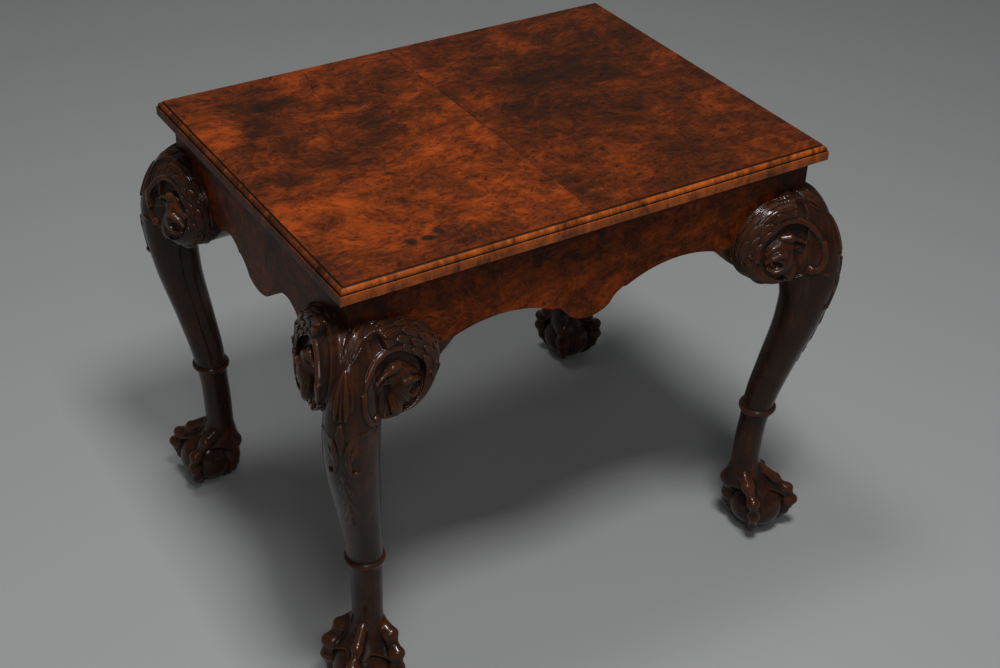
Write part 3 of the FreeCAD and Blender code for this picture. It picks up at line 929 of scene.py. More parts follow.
@dataclass
class Screws:
    """Slotted countersunk screws, in millimetres."""

    shank: float = 4.0
    head: float = 8.0
    head_height: float = 2.4
    slot: float = 1.2
    sides: int = 28
    seed: int = 11

    def jig(self, finish: bpy.types.Material) -> Jig:
        """Tree that puts a screw on every point, along its "aim", with its slot turned anyhow.

        Args:
            finish: Material of the steel.

        Returns:
            The tree.
        """
        inputs = {"Length": "Float", "Head": "Float", "Shank": "Float", "Seed": "Int"}
        jig = Jig("screw_set", inputs)
        length, head, shank = (jig.given(name) for name in ("Length", "Head", "Shank"))
        inputs = {
            "Vertices": self.sides,
            "Radius Bottom": head * 0.5,
            "Radius Top": shank * 0.5,
            "Depth": self.head_height * MM,
        }
        cone = jig.node("GeometryNodeMeshCone", None, inputs)
        inputs = {"Vertices": self.sides, "Radius": shank * 0.5, "Depth": length}
        rod = jig.node("GeometryNodeMeshCylinder", None, inputs)
        inputs = {"Geometry": rod, "Translation": jig.point(z=length * 0.5)}
        rod = jig.node("GeometryNodeTransform", None, inputs)
        cut_size = jig.point(head * 2.0, self.slot * MM, self.head_height * MM)
        cut = jig.node("GeometryNodeMeshCube", None, {"Size": cut_size})
        settings = {"operation": "UNION", "solver": "EXACT"}
        body = jig.node("GeometryNodeMeshBoolean", settings, {"Mesh 2": cone})
        jig.feed(body.socket.node.inputs["Mesh 2"], rod)
        settings = {"operation": "DIFFERENCE", "solver": "EXACT"}
        screw = jig.node("GeometryNodeMeshBoolean", settings, {"Mesh 1": body, "Mesh 2": cut})
        aim = jig.node("GeometryNodeInputNamedAttribute", {"data_type": "FLOAT_VECTOR"}, {"Name": "aim"})
        lie = jig.node("FunctionNodeAlignRotationToVector", {"axis": "Z"}, {"Vector": aim})
        swing = jig.node("FunctionNodeRandomValue", {"data_type": "FLOAT"}, {"Seed": jig.given("Seed")}, 1)
        inputs = {"Axis": (0, 0, 1), "Angle": swing * math.pi}
        spin = jig.node("FunctionNodeAxisAngleToRotation", None, inputs)
        turned = jig.node("FunctionNodeRotateRotation", {"rotation_space": "LOCAL"}, {0: lie, 1: spin})
        inputs = {"Points": jig.given("Start"), "Instance": screw, "Rotation": turned}
        jig.deliver(jig.node("GeometryNodeInstanceOnPoints", None, inputs), finish)
        return jig

    def build(self, finish: bpy.types.Material) -> None:
        """Drive the screws where the frame has them.

        Args:
            finish: Material of the steel.
        """
        jig = self.jig(finish)
        for node in ("top_screws", "corner_screws"):
            heads, aims, length = self._seats(node)
            start = scatter(node, heads)
            start.attributes.new("aim", "FLOAT_VECTOR", "POINT")
            start.attributes["aim"].data.foreach_set("vector", np.ravel(aims))
            sizes = {"Head": self.head * MM, "Shank": self.shank * MM, "Length": length, "Seed": self.seed}
            place(jig.run(f"slotted_{node}", start, sizes), "steel", node)

    def _seats(self, node: str) -> tuple[list[Vector], list[Vector], float]:
        """Read a CAD node's screws.

        Args:
            node: Name of the node.

        Returns:
            The heads' middles, the directions from head to point, and the length.
        """
        solid = bmesh.new()
        solid.from_mesh(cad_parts[node].data)
        bmesh.ops.remove_doubles(solid, verts=solid.verts, dist=1e-6)
        heads, aims, length = [], [], 0.0
        waiting = set(solid.verts)
        while waiting:
            spots = [vertex.co for vertex in self._linked(waiting)]
            low, high = (Vector(map(pick, zip(*spots))) for pick in (min, max))
            size, middle = high - low, (low + high) / 2
            along = max(range(3), key=lambda axis: size[axis])
            aim = Vector([math.copysign(axis == along, middle[axis]) for axis in range(3)])
            length = size[along]
            heads.append(middle - aim * length / 2)
            aims.append(aim)
        solid.free()
        return heads, aims, length

    def _linked(self, waiting: set) -> list:
        """Take one whole screw's vertices out of those that wait.

        Args:
            waiting: Vertices that no screw has taken yet.

        Returns:
            The vertices of one screw.
        """
        found = [waiting.pop()]
        for vertex in found:
            for edge in vertex.link_edges:
                other = edge.other_vert(vertex)
                if other in waiting:
                    waiting.remove(other)
                    found.append(other)
        return found


# ---- studio
@dataclass(frozen=True)
class Lamp:
    """Soft square lamp, in metres and watts."""

    name: str
    spot: tuple[float, float, float]
    size: float
    power: float
    aim: tuple[float, float, float] = (0.0, 0.0, 0.3)

    def build(self) -> None:
        """Hang the lamp."""
        lamp = bpy.data.lights.new(self.name, "AREA")
        lamp.size = self.size
        lamp.energy = self.power
        holder = bpy.data.objects.new(self.name, lamp)
        holder.location = self.spot
        facing = Vector(self.aim) - Vector(self.spot)
        holder.rotation_euler = facing.to_track_quat("-Z", "Y").to_euler()
        bpy.context.scene.collection.objects.link(holder)


@dataclass
class Studio:
    """Camera, lamps, floor and surroundings, in metres and degrees."""

    azimuth: float = -33.0359
    elevation: float = 34.5328
    roll: float = 2.0807
    eye: tuple[float, float, float] = (-0.7975, -1.2616, 1.2637)
    focal: float = 58.31        # millimetres
    sensor: float = 36.0
    lamps: tuple[Lamp, ...] = (
        Lamp("overhead", (-0.15, -0.80, 2.5), 0.5, 40.0),
        Lamp("skylight", (-0.30, 0.30, 2.5), 0.5, 17.0),
        Lamp("front", (-1.05, -2.1, 2.3), 0.8, 12.0),
    )
    floor_size: float = 12.0
    floor: PaintedFloor = PaintedFloor()
    backdrop: Colour = srgb(150, 152, 153)
    glow: float = 0.32          # strength of the backdrop's light

    def build(self) -> None:
        """Put up the studio."""
        self._camera()
        for lamp in self.lamps:
            lamp.build()
        self._floor()
        self._world()
        bpy.context.scene.view_settings.view_transform = "Standard"

    def _camera(self) -> None:
        """The camera, rolled slightly."""
        camera = bpy.data.objects.new("camera", bpy.data.cameras.new("camera"))
        bpy.context.scene.collection.objects.link(camera)
        turn, rise, roll = (math.radians(a) for a in (self.azimuth, self.elevation, self.roll))
        flat = math.cos(rise)
        back = Vector((math.sin(turn) * flat, -math.cos(turn) * flat, math.sin(rise)))
        level = Vector((math.cos(turn), math.sin(turn), 0))
        right = level * math.cos(roll) + back.cross(level) * math.sin(roll)
        axes = Matrix((right, back.cross(right), back)).transposed()
        camera.matrix_world = Matrix.Translation(self.eye) @ axes.to_4x4()
        camera.data.lens = self.focal
        camera.data.sensor_width = self.sensor
        bpy.context.scene.camera = camera

    def _floor(self) -> None:
        """A plain floor."""
        reach = self.floor_size / 2
        mesh = bpy.data.meshes.new("floor")
        corners = [(-reach, -reach, 0), (reach, -reach, 0), (reach, reach, 0), (-reach, reach, 0)]
        mesh.from_pydata(corners, [], [(0, 1, 2, 3)])
        mesh.materials.append(self.floor.build())
        floor = bpy.data.objects.new("floor", mesh)
        bpy.context.scene.collection.objects.link(floor)

    def _world(self) -> None:
        """Even light from all round."""
        world = bpy.data.worlds.new("studio")
        world.use_nodes = True
        background = world.node_tree.nodes["Background"]
        background.inputs["Color"].default_value = (*self.backdrop, 1.0)
        background.inputs["Strength"].default_value = self.glow
        bpy.context.scene.world = world


# ---- distance fields, in millimetres
def ease(low: float, high: float, value: Array) -> Array:
    """Smooth step from 0 at low to 1 at high; high may be the smaller."""
    share = np.clip((value - low) / (high - low), 0.0, 1.0)
    return share * share * (3.0 - 2.0 * share)


def window(value: Array, span: Sequence[Sequence[float]]) -> Array:
    """1 between two smooth steps, the first up and the second down."""
    (low, opened), (high, closed) = span
    return ease(low, opened, value) * ease(high, closed, value)


def dome(away: Array, reach: Union[Array, float]) -> Array:
    """Quarter-round profile: 1 in the middle and 0 from the reach outwards."""
    return np.sqrt(np.clip(1.0 - (away / reach) ** 2, 0.0, 1.0))


def crease(away: Array, width: float) -> Array:
    """Narrow bell profile: 1 in the middle."""
    return np.exp(-((away / width) ** 2))


def join(first: Array, second: Array, soft: float = 0.0) -> Array:
    """Union of two solids with a fillet.

    Args:
        first, second: Distances to the two solids.
        soft: Reach of the fillet.

    Returns:
        The distance to both together.
    """
    if soft <= 0:
        return np.minimum(first, second)
    gap = np.maximum(soft - np.abs(first - second), 0.0) / soft
    return np.minimum(first, second) - gap * gap * soft * 0.25


def keep(first: Array, second: Array, soft: float = 0.0) -> Array:
    """What two solids share, with a softened edge."""
    return -join(-first, -second, soft)


def blob(x: Array, y: Array, z: Array, middle: Sequence[float], radii: Sequence[float]) -> Array:
    """Distance to an ellipsoid, nearly.

    Args:
        x, y, z: Where to measure.
        middle: Middle of the ellipsoid.
        radii: Its radii.

    Returns:
        The distance.
    """
    px, py, pz = x - middle[0], y - middle[1], z - middle[2]
    near = np.sqrt((px / radii[0]) ** 2 + (py / radii[1]) ** 2 + (pz / radii[2]) ** 2) + 1e-9
    steep = np.sqrt((px / radii[0] ** 2) ** 2 + (py / radii[1] ** 2) ** 2 + (pz / radii[2] ** 2) ** 2) + 1e-9
    return near * (near - 1.0) / steep


def stick(x: Array, y: Array, z: Array, start: Sequence[float], end: Sequence[float]) -> Array:
    """Distance to a rod with round ends between two (x, y, z, radius) stations.

    Args:
        x, y, z: Where to measure.
        start, end: The two stations.

    Returns:
        The distance.
    """
    ex, ey, ez = (end[axis] - start[axis] for axis in range(3))
    px, py, pz = x - start[0], y - start[1], z - start[2]
    share = np.clip((px * ex + py * ey + pz * ez) / (ex * ex + ey * ey + ez * ez), 0.0, 1.0)
    away = np.sqrt((px - share * ex) ** 2 + (py - share * ey) ** 2 + (pz - share * ez) ** 2)
    return away - (start[3] + share * (end[3] - start[3]))


def stroke(x: Array, y: Array, points: Sequence[Sequence[float]]) -> tuple[Array, Array]:
    """Nearest distance to a bent line, and how far along it that is.

    Args:
        x, y: Where to measure.
        points: The line's points.

    Returns:
        The distance, and the share of the line's length up to the nearest point.
    """
    lengths = [math.dist(a, b) for a, b in zip(points, points[1:])]
    best = np.full(np.shape(x), 1e9)
    along = np.zeros(np.shape(x))
    passed = 0.0
    for (ax, ay), (bx, by), length in zip(points, points[1:], lengths):
        ux, uy = (bx - ax) / length, (by - ay) / length
        share = np.clip((x - ax) * ux + (y - ay) * uy, 0.0, length)
        away = np.hypot(x - ax - share * ux, y - ay - share * uy)
        nearer = away < best
        best = np.where(nearer, away, best)
        along = np.where(nearer, passed + share, along)
        passed += length
    return best, along / passed


def bend(
    start: Sequence[float], middle: Sequence[float], end: Sequence[float], count: int = 8
) -> list:
    """Points along a curve from start to end that leans towards the middle point."""
    shares = np.linspace(0.0, 1.0, count)
    return [
        tuple((1 - t) ** 2 * a + 2 * t * (1 - t) * b + t * t * c for a, b, c in zip(start, middle, end))
        for t in shares
    ]


def leaflet(x: Array, y: Array, spine: Sequence, half_width: float, height: float) -> Array:
    """Relief of one domed leaf lobe along a spine: narrow at the root, fullest past the middle.

    Args:
        x, y: Where to measure.
        spine: Middle line of the lobe.
        half_width: Its half width at the fullest.
        height: Its height there.

    Returns:
        The height of the relief.
    """
    away, along = stroke(x, y, spine)
    width = half_width * (0.30 + 0.70 * np.sin(np.pi * np.clip(along, 0.0, 1.0) ** 1.3 * 0.86 + 0.12))
    width = np.maximum(width, 0.05)
    rib = 0.30 * crease(away, 0.7)
    return height * dome(away, width) * (0.55 + 0.45 * along) - rib * (away < width)


# ---- carved corner
@dataclass
class Corner:
    """Where the leg's corner stands: apron faces from the table's middle, and the table's height."""

    apron_x: float = 265.2
    apron_y: float = 195.2
    height: float = 500.0
    post: float = 40.0
    veneer: float = 1.2
    underside: float = 483.0    # of the top's board
    post_foot: float = 115.0    # depth of the post's lower end
    skew: float = 6.0           # sideways set of the leg against the diagonal
    far_x: float = 302.3        # outermost reach of the CAD
    far_y: float = 240.8
    shy: float = 0.3            # how far the carving stays inside it


@dataclass(frozen=True)
class Station:
    """Oval section of the leg: reach outwards and inwards on the diagonal, and half its width."""

    level: float
    outer: float
    inner: float
    half: float


@dataclass
class Stem:
    """The leg from its knee down to the palm, with the turned ring of the ankle."""

    stations: tuple[Station, ...] = tuple(Station(*row) for row in (
        (448.0, 2.0, -50.0, 5.0), (438.0, 15.0, -50.0, 12.0), (426.0, 28.0, -48.0, 17.0),
        (412.0, 37.0, -46.0, 20.0), (396.0, 43.5, -42.0, 23.0), (380.0, 47.5, -34.0, 25.0),
        (364.0, 49.5, -24.0, 26.0), (348.0, 49.0, -16.0, 26.5), (326.0, 45.5, -10.5, 26.5),
        (300.0, 40.0, -11.0, 25.5), (230.0, 18.5, -22.5, 21.3), (187.0, 6.5, -30.0, 19.0),
        (150.0, -1.0, -32.5, 17.3), (115.0, -3.3, -35.0, 16.4), (84.0, -2.0, -36.0, 16.6),
        (70.0, 4.0, -37.0, 19.0), (59.0, 12.0, -36.0, 22.5), (48.0, 20.0, -34.0, 26.5),
    ))
    ring_level: float = 167.5
    ring_radius: float = 17.0
    ring_bead: float = 4.2
    ring_fillet: float = 6.4    # half the height of the collar under the bead

    def __post_init__(self) -> None:
        """Work out smooth curves through the stations."""
        rows = np.array([(s.level, s.outer, s.inner, s.half) for s in reversed(self.stations)])
        levels = rows[:, 0]
        steps = np.diff(levels)[:, None]
        slopes = np.diff(rows[:, 1:], axis=0) / steps
        middle = (slopes[:-1] * steps[1:] + slopes[1:] * steps[:-1]) / (steps[1:] + steps[:-1])
        tangents = np.vstack([slopes[:1], middle, slopes[-1:]])
        self.fine = np.arange(levels[0], levels[-1], 0.5)
        index = np.clip(np.searchsorted(levels, self.fine, "right") - 1, 0, len(levels) - 2)
        span = steps[index]
        t = ((self.fine - levels[index])[:, None]) / span
        start, end = rows[index, 1:], rows[index + 1, 1:]
        curve = (2 * t ** 3 - 3 * t ** 2 + 1) * start + (t ** 3 - 2 * t ** 2 + t) * span * tangents[index]
        self.curve = curve + (3 * t ** 2 - 2 * t ** 3) * end + (t ** 3 - t ** 2) * span * tangents[index + 1]

    def at(self, z: Array) -> tuple[Array, Array, Array]:
        """Outer reach, inner reach and half width at a height."""
        return tuple(np.interp(z, self.fine, self.curve[:, column]) for column in range(3))

    def field(self, along: Array, across: Array, z: Array) -> Array:
        """Distance to the stem.

        Args:
            along: Coordinate on the corner's diagonal, outwards.
            across: Coordinate square to it.
            z: Height.

        Returns:
            The distance, negative inside.
        """
        outer, inner, half = self.at(z)
        reach = (outer - inner) / 2
        oval = blob(along - (outer + inner) / 2, across, 0.0 * z, (0, 0, 0), (reach, half, 1.0))
        lower, _, _ = self.at(z - 1.5)
        upper, _, _ = self.at(z + 1.5)
        slope = (upper - lower) / 3.0 * np.clip(along / reach, 0.0, 1.0)
        return keep(oval / np.sqrt(1.0 + slope * slope), z - self.fine[-1])

    def ring(self, along: Array, across: Array, z: Array) -> Array:
        """Distance to the turned ring round the ankle.

        Args:
            along, across, z: Where to measure, as in the field.

        Returns:
            The distance.
        """
        outer, inner, _ = self.at(np.array([self.ring_level]))
        out = np.hypot(along - float(outer[0] + inner[0]) / 2, across) - self.ring_radius
        bead = np.hypot(out, z - self.ring_level) - self.ring_bead
        fillet = keep(np.abs(z - self.ring_level) - self.ring_fillet, out - 1.0)
        return join(bead, fillet, 0.6)


Knuckle = tuple[float, float, float, float]


@dataclass
class Foot:
    """Four jointed toes and a web round a ball.

    A knuckle is a place outwards, sideways and up from the ball's middle, and its radius.
    """

    radius: float = 31.5
    middle: float = 31.0        # height of the ball's middle
    front_toe: tuple[Knuckle, ...] = (
        (0.0, 0.0, 50.0, 3.6), (18.4, 0.0, 38.0, 4.6), (25.6, 0.0, 31.4, 3.2), (34.2, 0.0, 25.6, 5.4),
        (37.8, 0.0, 17.4, 3.6), (40.6, 0.0, 10.2, 5.9), (38.0, 0.0, 1.0, 4.4), (33.8, 0.0, -7.5, 4.6),
        (28.2, 0.0, -17.0, 3.2), (21.5, 0.0, -26.0, 1.7),
    )
    side_toe: tuple[Knuckle, ...] = (
        (-19.0, 15.0, 46.5, 5.0), (-12.0, 28.2, 38.6, 6.0), (-7.0, 32.4, 30.0, 4.0), (-2.0, 38.0, 22.6, 6.0),
        (0.0, 38.8, 14.0, 4.2), (0.5, 39.0, 5.6, 5.9), (0.5, 37.0, -2.5, 4.3), (0.5, 34.4, -10.5, 4.4),
        (0.5, 28.4, -20.0, 3.3), (0.5, 21.3, -28.0, 1.8),
    )
    back_toe: tuple[Knuckle, ...] = (
        (-26.0, 0.0, 44.0, 9.0), (-35.0, 0.0, 27.5, 9.2), (-34.5, 0.0, 17.0, 6.8),
        (-33.0, 0.0, 5.5, 8.0), (-34.0, 0.0, -4.0, 6.0), (-31.5, 0.0, -13.0, 5.2),
        (-26.0, 0.0, -22.0, 3.6), (-20.0, 0.0, -29.0, 1.8),
    )
    web: float = 2.6            # its thickness over the ball
    lip_low: float = 15.0       # its edge above the ball's middle, beside a toe
    lip_rise: float = 12.5      # and more than that midway between toes
    root: float = 0.86          # place of a toe's broad underside, as a share of its ridge's
    flesh: float = 1.3          # and how much broader it is
    swelling: float = 0.1       # of a joint

    def toes(self, out: Array, side: Array, up: Array) -> Array:
        """Distance to the four toes.

        Args:
            out, side, up: Place from the ball's middle.

        Returns:
            The distance.
        """
        best = None
        for chain in (self.front_toe, self.side_toe, self.back_toe):
            ridge = self._chain(out, side, up, chain)
            under = [(o * self.root, s * self.root, u * 0.95, r * self.flesh) for o, s, u, r in chain]
            ridge = join(ridge, self._joints(out, side, up, chain), 2.5)
            toe = join(ridge, self._chain(out, side, up, under), 3.5)
            best = toe if best is None else join(best, toe, 1.0)
        return best

    def _chain(self, out: Array, side: Array, up: Array, knuckles: Sequence[Knuckle]) -> Array:
        """Distance to one string of knuckles and its mirror image.

        Args:
            out, side, up: Place from the ball's middle.
            knuckles: The string.

        Returns:
            The distance.
        """
        across = np.abs(side)
        toe = stick(out, across, up, knuckles[0], knuckles[1])
        for start, end in zip(knuckles[1:], knuckles[2:]):
            toe = join(toe, stick(out, across, up, start, end), 1.0)
        return toe

    def _joints(self, out: Array, side: Array, up: Array, knuckles: Sequence[Knuckle]) -> Array:
        """Distance to the swellings of one toe and its mirror image.

        Args:
            out, side, up: Place from the ball's middle.
            knuckles: The toe.

        Returns:
            The distance.
        """
        best = np.full(np.shape(out), 1e3)
        for before, (o, s, u, r), after in zip(knuckles, knuckles[1:], knuckles[2:]):
            if r > max(before[3], after[3]):
                ball = np.sqrt((out - o) ** 2 + (np.abs(side) - s) ** 2 + (up - u) ** 2)
                best = np.minimum(best, ball - r - self.swelling)
        return best

    def field(self, out: Array, side: Array, z: Array, palm: Array) -> Array:
        """Distance to the foot.

        Args:
            out: From the ball's middle, outwards on the diagonal.
            side: From the ball's middle, square to it.
            z: Height above the floor.
            palm: Distance to the stem that spreads over the ball.

        Returns:
            The distance, negative inside.
        """
        up = z - self.middle
        ball = np.sqrt(out * out + side * side + up * up) - self.radius
        turn = np.arctan2(side, out)
        lip = self.lip_low + self.lip_rise * np.abs(np.sin(2.0 * turn))
        web = keep(join(palm, ball - self.web, 7.0), lip - up, 1.0)
        grip = join(web, self.toes(out, side, up), 5.0)
        return keep(join(grip, ball), -z)


@dataclass
class Volute:
    """Carved disc on one apron face, in inset from the corner, proud of the apron, and depth.

    The ridges of the bird's head are points with their inset, depth, height over the disc's face and
    radius, as on the long side's disc.
    """

    BEAK = (
        (40.0, 92.0, -4.0, 3.8), (32.2, 91.4, -1.6, 4.5), (25.4, 94.4, -2.8, 2.3),
        (18.8, 97.2, -2.8, 1.7), (13.4, 101.2, -3.4, 1.3), (12.8, 105.4, -5.2, 0.9),
    )
    LOWER_BEAK = ((29.0, 103.5, -6.6, 4.4), (19.0, 104.0, -6.2, 1.7))
    BROW = (
        (39.0, 108.5, 0.4, 1.7), (42.0, 105.8, 2.6, 2.6), (48.0, 105.6, 3.4, 2.9),
        (55.0, 108.8, 1.6, 2.6), (60.5, 114.0, -1.8, 2.0),
    )
    CROWN = (
        (36.0, 99.5, -1.0, 2.2), (44.5, 97.8, -1.4, 2.0), (52.0, 101.0, -1.8, 1.9),
        (58.5, 106.5, -3.0, 1.6),
    )
    LOWER_LID = (
        (45.4, 120.8, 2.6, 1.1), (48.8, 123.4, 2.2, 1.5), (54.0, 124.4, 0.8, 1.5),
        (59.0, 121.8, -1.2, 1.1),
    )
    CHEEK = ((46.0, 130.0, -0.8, 0.8), (53.0, 131.6, -2.0, 1.4), (60.0, 128.4, -4.4, 0.9))
    THROAT = ((45.0, 137.0, -4.6, 0.8), (51.0, 138.6, -5.4, 1.4), (57.5, 135.0, -6.6, 0.9))

    # Rounded masses: middle and radii.
    SKULL = ((43.5, 113.0, -9.0), (18.5, 19.5, 13.5))
    LOBES = (
        ((37.0, 99.5, -7.5), (13.0, 10.5, 9.0)),
        ((50.0, 129.0, -10.0), (14.0, 12.5, 8.5)),
        ((60.0, 126.5, -9.6), (13.5, 14.0, 6.4)),
    )
    NECK = ((33.0, 124.0, -7.5), (9.8, 17.5, 9.5))
    SOCKET = ((52.4, 117.6, 5.0), (7.8, 5.6, 7.6))
    EYE = ((52.0, 118.0, -2.4), (3.6, 2.8, 2.2))

    # Where things show round the field, in degrees: from nothing to full, and from nothing back.
    SPIRAL_SPAN = ((-78.0, -30.0), (190.0, 142.0))
    UNDERCUT_SPAN = ((70.0, 140.0), (215.0, 170.0))
    SCORE_SPAN = ((95.0, 115.0), (214.0, 196.0))
    BORDER_SPAN = ((92.0, 124.0), (214.0, 190.0))
    BEAD_SPAN = ((40.0, 62.0), (200.0, 184.0))
    FEATHERS_END = (104.0, 97.0)
    RIM_END = 203.0

    TAIL = ((-3.4, 97.0), (-4.6, 105.0), (-5.4, 113.0), (-4.4, 121.0), (-1.4, 128.0), (4.0, 132.2))
    CURL = (8.5, 131.5)

    radius: float = 42.0
    inset: float = 46.0
    depth: float = 99.0
    proud: float = 24.0
    lean: float = 0.21
    turn: float = 0.22
    overlap: float = 20.2       # middle of the outline's second disc, towards the corner
    lift: float = 3.0
    field_radius: float = 33.0
    field_inset: float = 14.0   # middle of the sunken field, towards the corner from the disc's
    field_drop: float = 5.0
    field_sink: float = 5.2
    field_tight: float = 5.0    # how much tighter the field's edge is where the scroll starts
    field_loose: float = 4.0    # and how much wider at the far side
    bead: float = 6.6
    rim_round: float = 8.5
    lane: float = 7.6           # width of a row of feathers
    feather: float = 26.0       # degrees between their tips
    first_tip: float = 98.0
    barb: float = 2.3           # how far a tip stands up
    stagger: float = 9.0        # degrees between the tips of neighbouring rows
    rows: float = 4.15          # feathers from the first tip back
    cove_top: float = 2.2       # the cove beside the bead, below the face
    cove_fall: float = 5.6
    cove_hollow: float = 2.4
    border: float = 8.0         # width of the border beside the knee
    border_top: float = 6.2     # its inner edge below the face
    border_fall: float = 0.85

    def chart(self, inset: Array, proud: Array, depth: Array) -> tuple[Array, ...]:
        """Places on the leaning face.

        Args:
            inset: From the apron's corner.
            proud: From the apron's face.
            depth: Below the table's top.

        Returns:
            Height over the face, distance outside its outline, distance from the field's middle with
            the spiral taken out, and the angle round it, 0 away from the corner and 90 upwards.
        """
        plane = self.proud + self.lean * (depth - self.depth) - self.turn * (inset - self.inset)
        over = (proud - plane) / math.sqrt(1.0 + self.lean ** 2 + self.turn ** 2)
        ends = ((self.inset - self.overlap, self.depth - self.lift), (self.inset, self.depth))
        outside = stroke(inset, depth, ends)[0] - self.radius
        across = inset - self.inset + self.field_inset
        down = depth - self.depth - self.field_drop
        angle = np.degrees(np.arctan2(-down, across))
        angle = np.where(angle < -115.0, angle + 360.0, angle)
        spiral = (self.field_tight + self.field_loose) * ease(50.0, -8.0, angle) - self.field_tight
        spiral = spiral * window(angle, self.SPIRAL_SPAN)
        return over, outside, np.hypot(across, down) - spiral, angle

    def field(self, inset: Array, proud: Array, depth: Array) -> Array:
        """Distance to the carved disc.

        Args:
            inset, proud, depth: Where to measure.

        Returns:
            The distance, negative inside.
        """
        over, outside, out, angle = self.chart(inset, proud, depth)
        behind = np.maximum(-over - 6.0, 0.0)
        spread = 0.16 + 0.30 * window(angle, self.UNDERCUT_SPAN)
        outline = outside - np.minimum(behind, 26.0) * spread
        soft = self.rim_round
        rounded = np.hypot(np.maximum(outline + soft, 0.0), np.maximum(over + soft, 0.0)) - soft
        feathered = np.minimum(np.maximum(outline, over) + soft, 0.0) + rounded
        feathered = feathered - self._feathers(over, out, angle)
        coved = np.maximum(outline, over - self._cove(outside, out))
        low = np.maximum(outline, over + self.field_sink + 1.0)
        rim = coved + (feathered - coved) * ease(*self.FEATHERS_END, angle)
        rim = np.where(angle > self.RIM_END, low, rim)
        rim = join(rim, self._bead(over, out, angle), 0.5)
        rim = join(rim, self._border(over, outside, angle), 0.3)
        hollow = keep(out - self.field_radius, -over - self.field_sink)
        scored = crease(outside + 0.3, 0.8) * window(angle, self.SCORE_SPAN)
        return keep(rim + 0.9 * scored * (over < -2.0), -hollow, 0.7)

    def _cove(self, outside: Array, out: Array) -> Array:
        """Height of the face from the bead down to the outline, hollowed between them."""
        start = np.maximum(out - self.field_radius - self.bead, 0.0)
        share = start / (start + np.maximum(-outside, 0.0) + 0.01)
        return -self.cove_top - self.cove_fall * share - self.cove_hollow * np.sin(np.pi * share)

    def _border(self, over: Array, outside: Array, angle: Array) -> Array:
        """Distance to the raised border outside the hollow, which falls away towards the knee.

        Args:
            over, outside, angle: Place on the face, as in the chart.

        Returns:
            The distance.
        """
        fall = self.border_fall * np.maximum(outside, 0.0) + 0.012 * outside * outside
        top = (over + self.border_top + fall) / math.sqrt(1.0 + self.border_fall ** 2)
        strip = np.maximum.reduce([top, outside - self.border, 0.3 - outside])
        return strip + 9.0 * (1.0 - window(angle, self.BORDER_SPAN))

    def _bead(self, over: Array, out: Array, angle: Array) -> Array:
        """Distance to the round bead along the scroll's inner edge.

        Args:
            over, out, angle: Place on the face, as in the chart.

        Returns:
            The distance.
        """
        middle = self.field_radius + self.bead / 2
        grown = window(angle, self.BEAD_SPAN)
        lift = 1.3 - 4.0 * (1.0 - grown)
        radius = self.bead / 2 + 0.2
        return np.hypot(out - middle, over - lift + radius) - radius + (1.0 - grown) * 3.0

    def _feathers(self, over: Array, out: Array, angle: Array) -> Array:
        """Height of the feathers over the rim and down its outer side.

        Args:
            over, out, angle: Place on the face, as in the chart.

        Returns:
            The height.
        """
        across = np.maximum(out - self.field_radius, 0.0) + np.clip(-over - 2.0, 0.0, 30.0)
        row = across / self.lane
        number = np.floor(row)
        side = 2.0 * (row - number) - 1.0
        tips = self.first_tip + self.stagger * np.mod(number, 2.0) - self.stagger * side * side
        past = (tips - angle) / self.feather
        place_in = past - np.floor(past)
        height = self.barb - 1.75 * place_in
        shoulder = 0.55 * side * side * height
        rib = 0.30 * crease(side, 0.13)
        barbs = 0.17 * np.cos(2.0 * np.pi * 1.9 * side)
        waves = np.cos(2.0 * np.pi * across / 2.7 + 0.02 * angle)
        lines = 0.30 + (0.16 + 0.10 * np.cos(across * 0.9)) * waves
        plumage = np.where(past < self.rows, height - shoulder + rib + barbs, lines)
        smooth_bead = (number < 1.0) & (angle > 66.0)
        shown = (over > -26.0) & (angle < self.first_tip + self.stagger)
        return np.where(shown & ~smooth_bead, plumage, 0.3)

    def _drawn(self, inset: Array, depth: Array) -> tuple[Array, Array]:
        """Place on the long side's disc, on which the head and the tail are drawn."""
        return inset - (self.inset - Volute.inset), depth - (self.depth - Volute.depth)

    def head(self, inset: Array, proud: Array, depth: Array) -> Array:
        """Distance to the bird's head that fills the field.

        Args:
            inset, proud, depth: Where to measure.

        Returns:
            The distance.
        """
        over = self.chart(inset, proud, depth)[0]
        x, y = self._drawn(inset, depth)
        shape = blob(x, y, over, *self.SKULL)
        for lobe in self.LOBES:
            shape = join(shape, blob(x, y, over, *lobe), 4.0)
        shape = join(shape, blob(x, y, over, *self.NECK), 1.2)
        strands = np.cos(np.degrees(np.arctan2(y - 98.0, x - 24.0)) * 2.0 * np.pi / 8.0)
        shape = shape - 0.12 * strands * ease(111.0, 117.0, y) * (over > -9.0)
        shape = join(shape, self._ridge(x, y, over, self.BEAK), 1.5)
        shape = join(shape, self._ridge(x, y, over, self.LOWER_BEAK), 0.6)
        for line in (self.BROW, self.CROWN):
            shape = join(shape, self._ridge(x, y, over, line), 1.6)
        shape = keep(shape, -blob(x, y, over, *self.SOCKET), 0.6)
        shape = join(shape, blob(x, y, over, *self.EYE), 0.3)
        for line in (self.LOWER_LID, self.CHEEK, self.THROAT):
            shape = join(shape, self._ridge(x, y, over, line), 1.0)
        return shape

    def _ridge(self, x: Array, y: Array, over: Array, points: Sequence) -> Array:
        """Distance to a ridge through (x, y, over, radius) points.

        Args:
            x, y, over: Where to measure.
            points: The points.

        Returns:
            The distance.
        """
        parts = [stick(x, y, over, start, end) for start, end in zip(points, points[1:])]
        found = parts[0]
        for part in parts[1:]:
            found = join(found, part, 0.6)
        return found

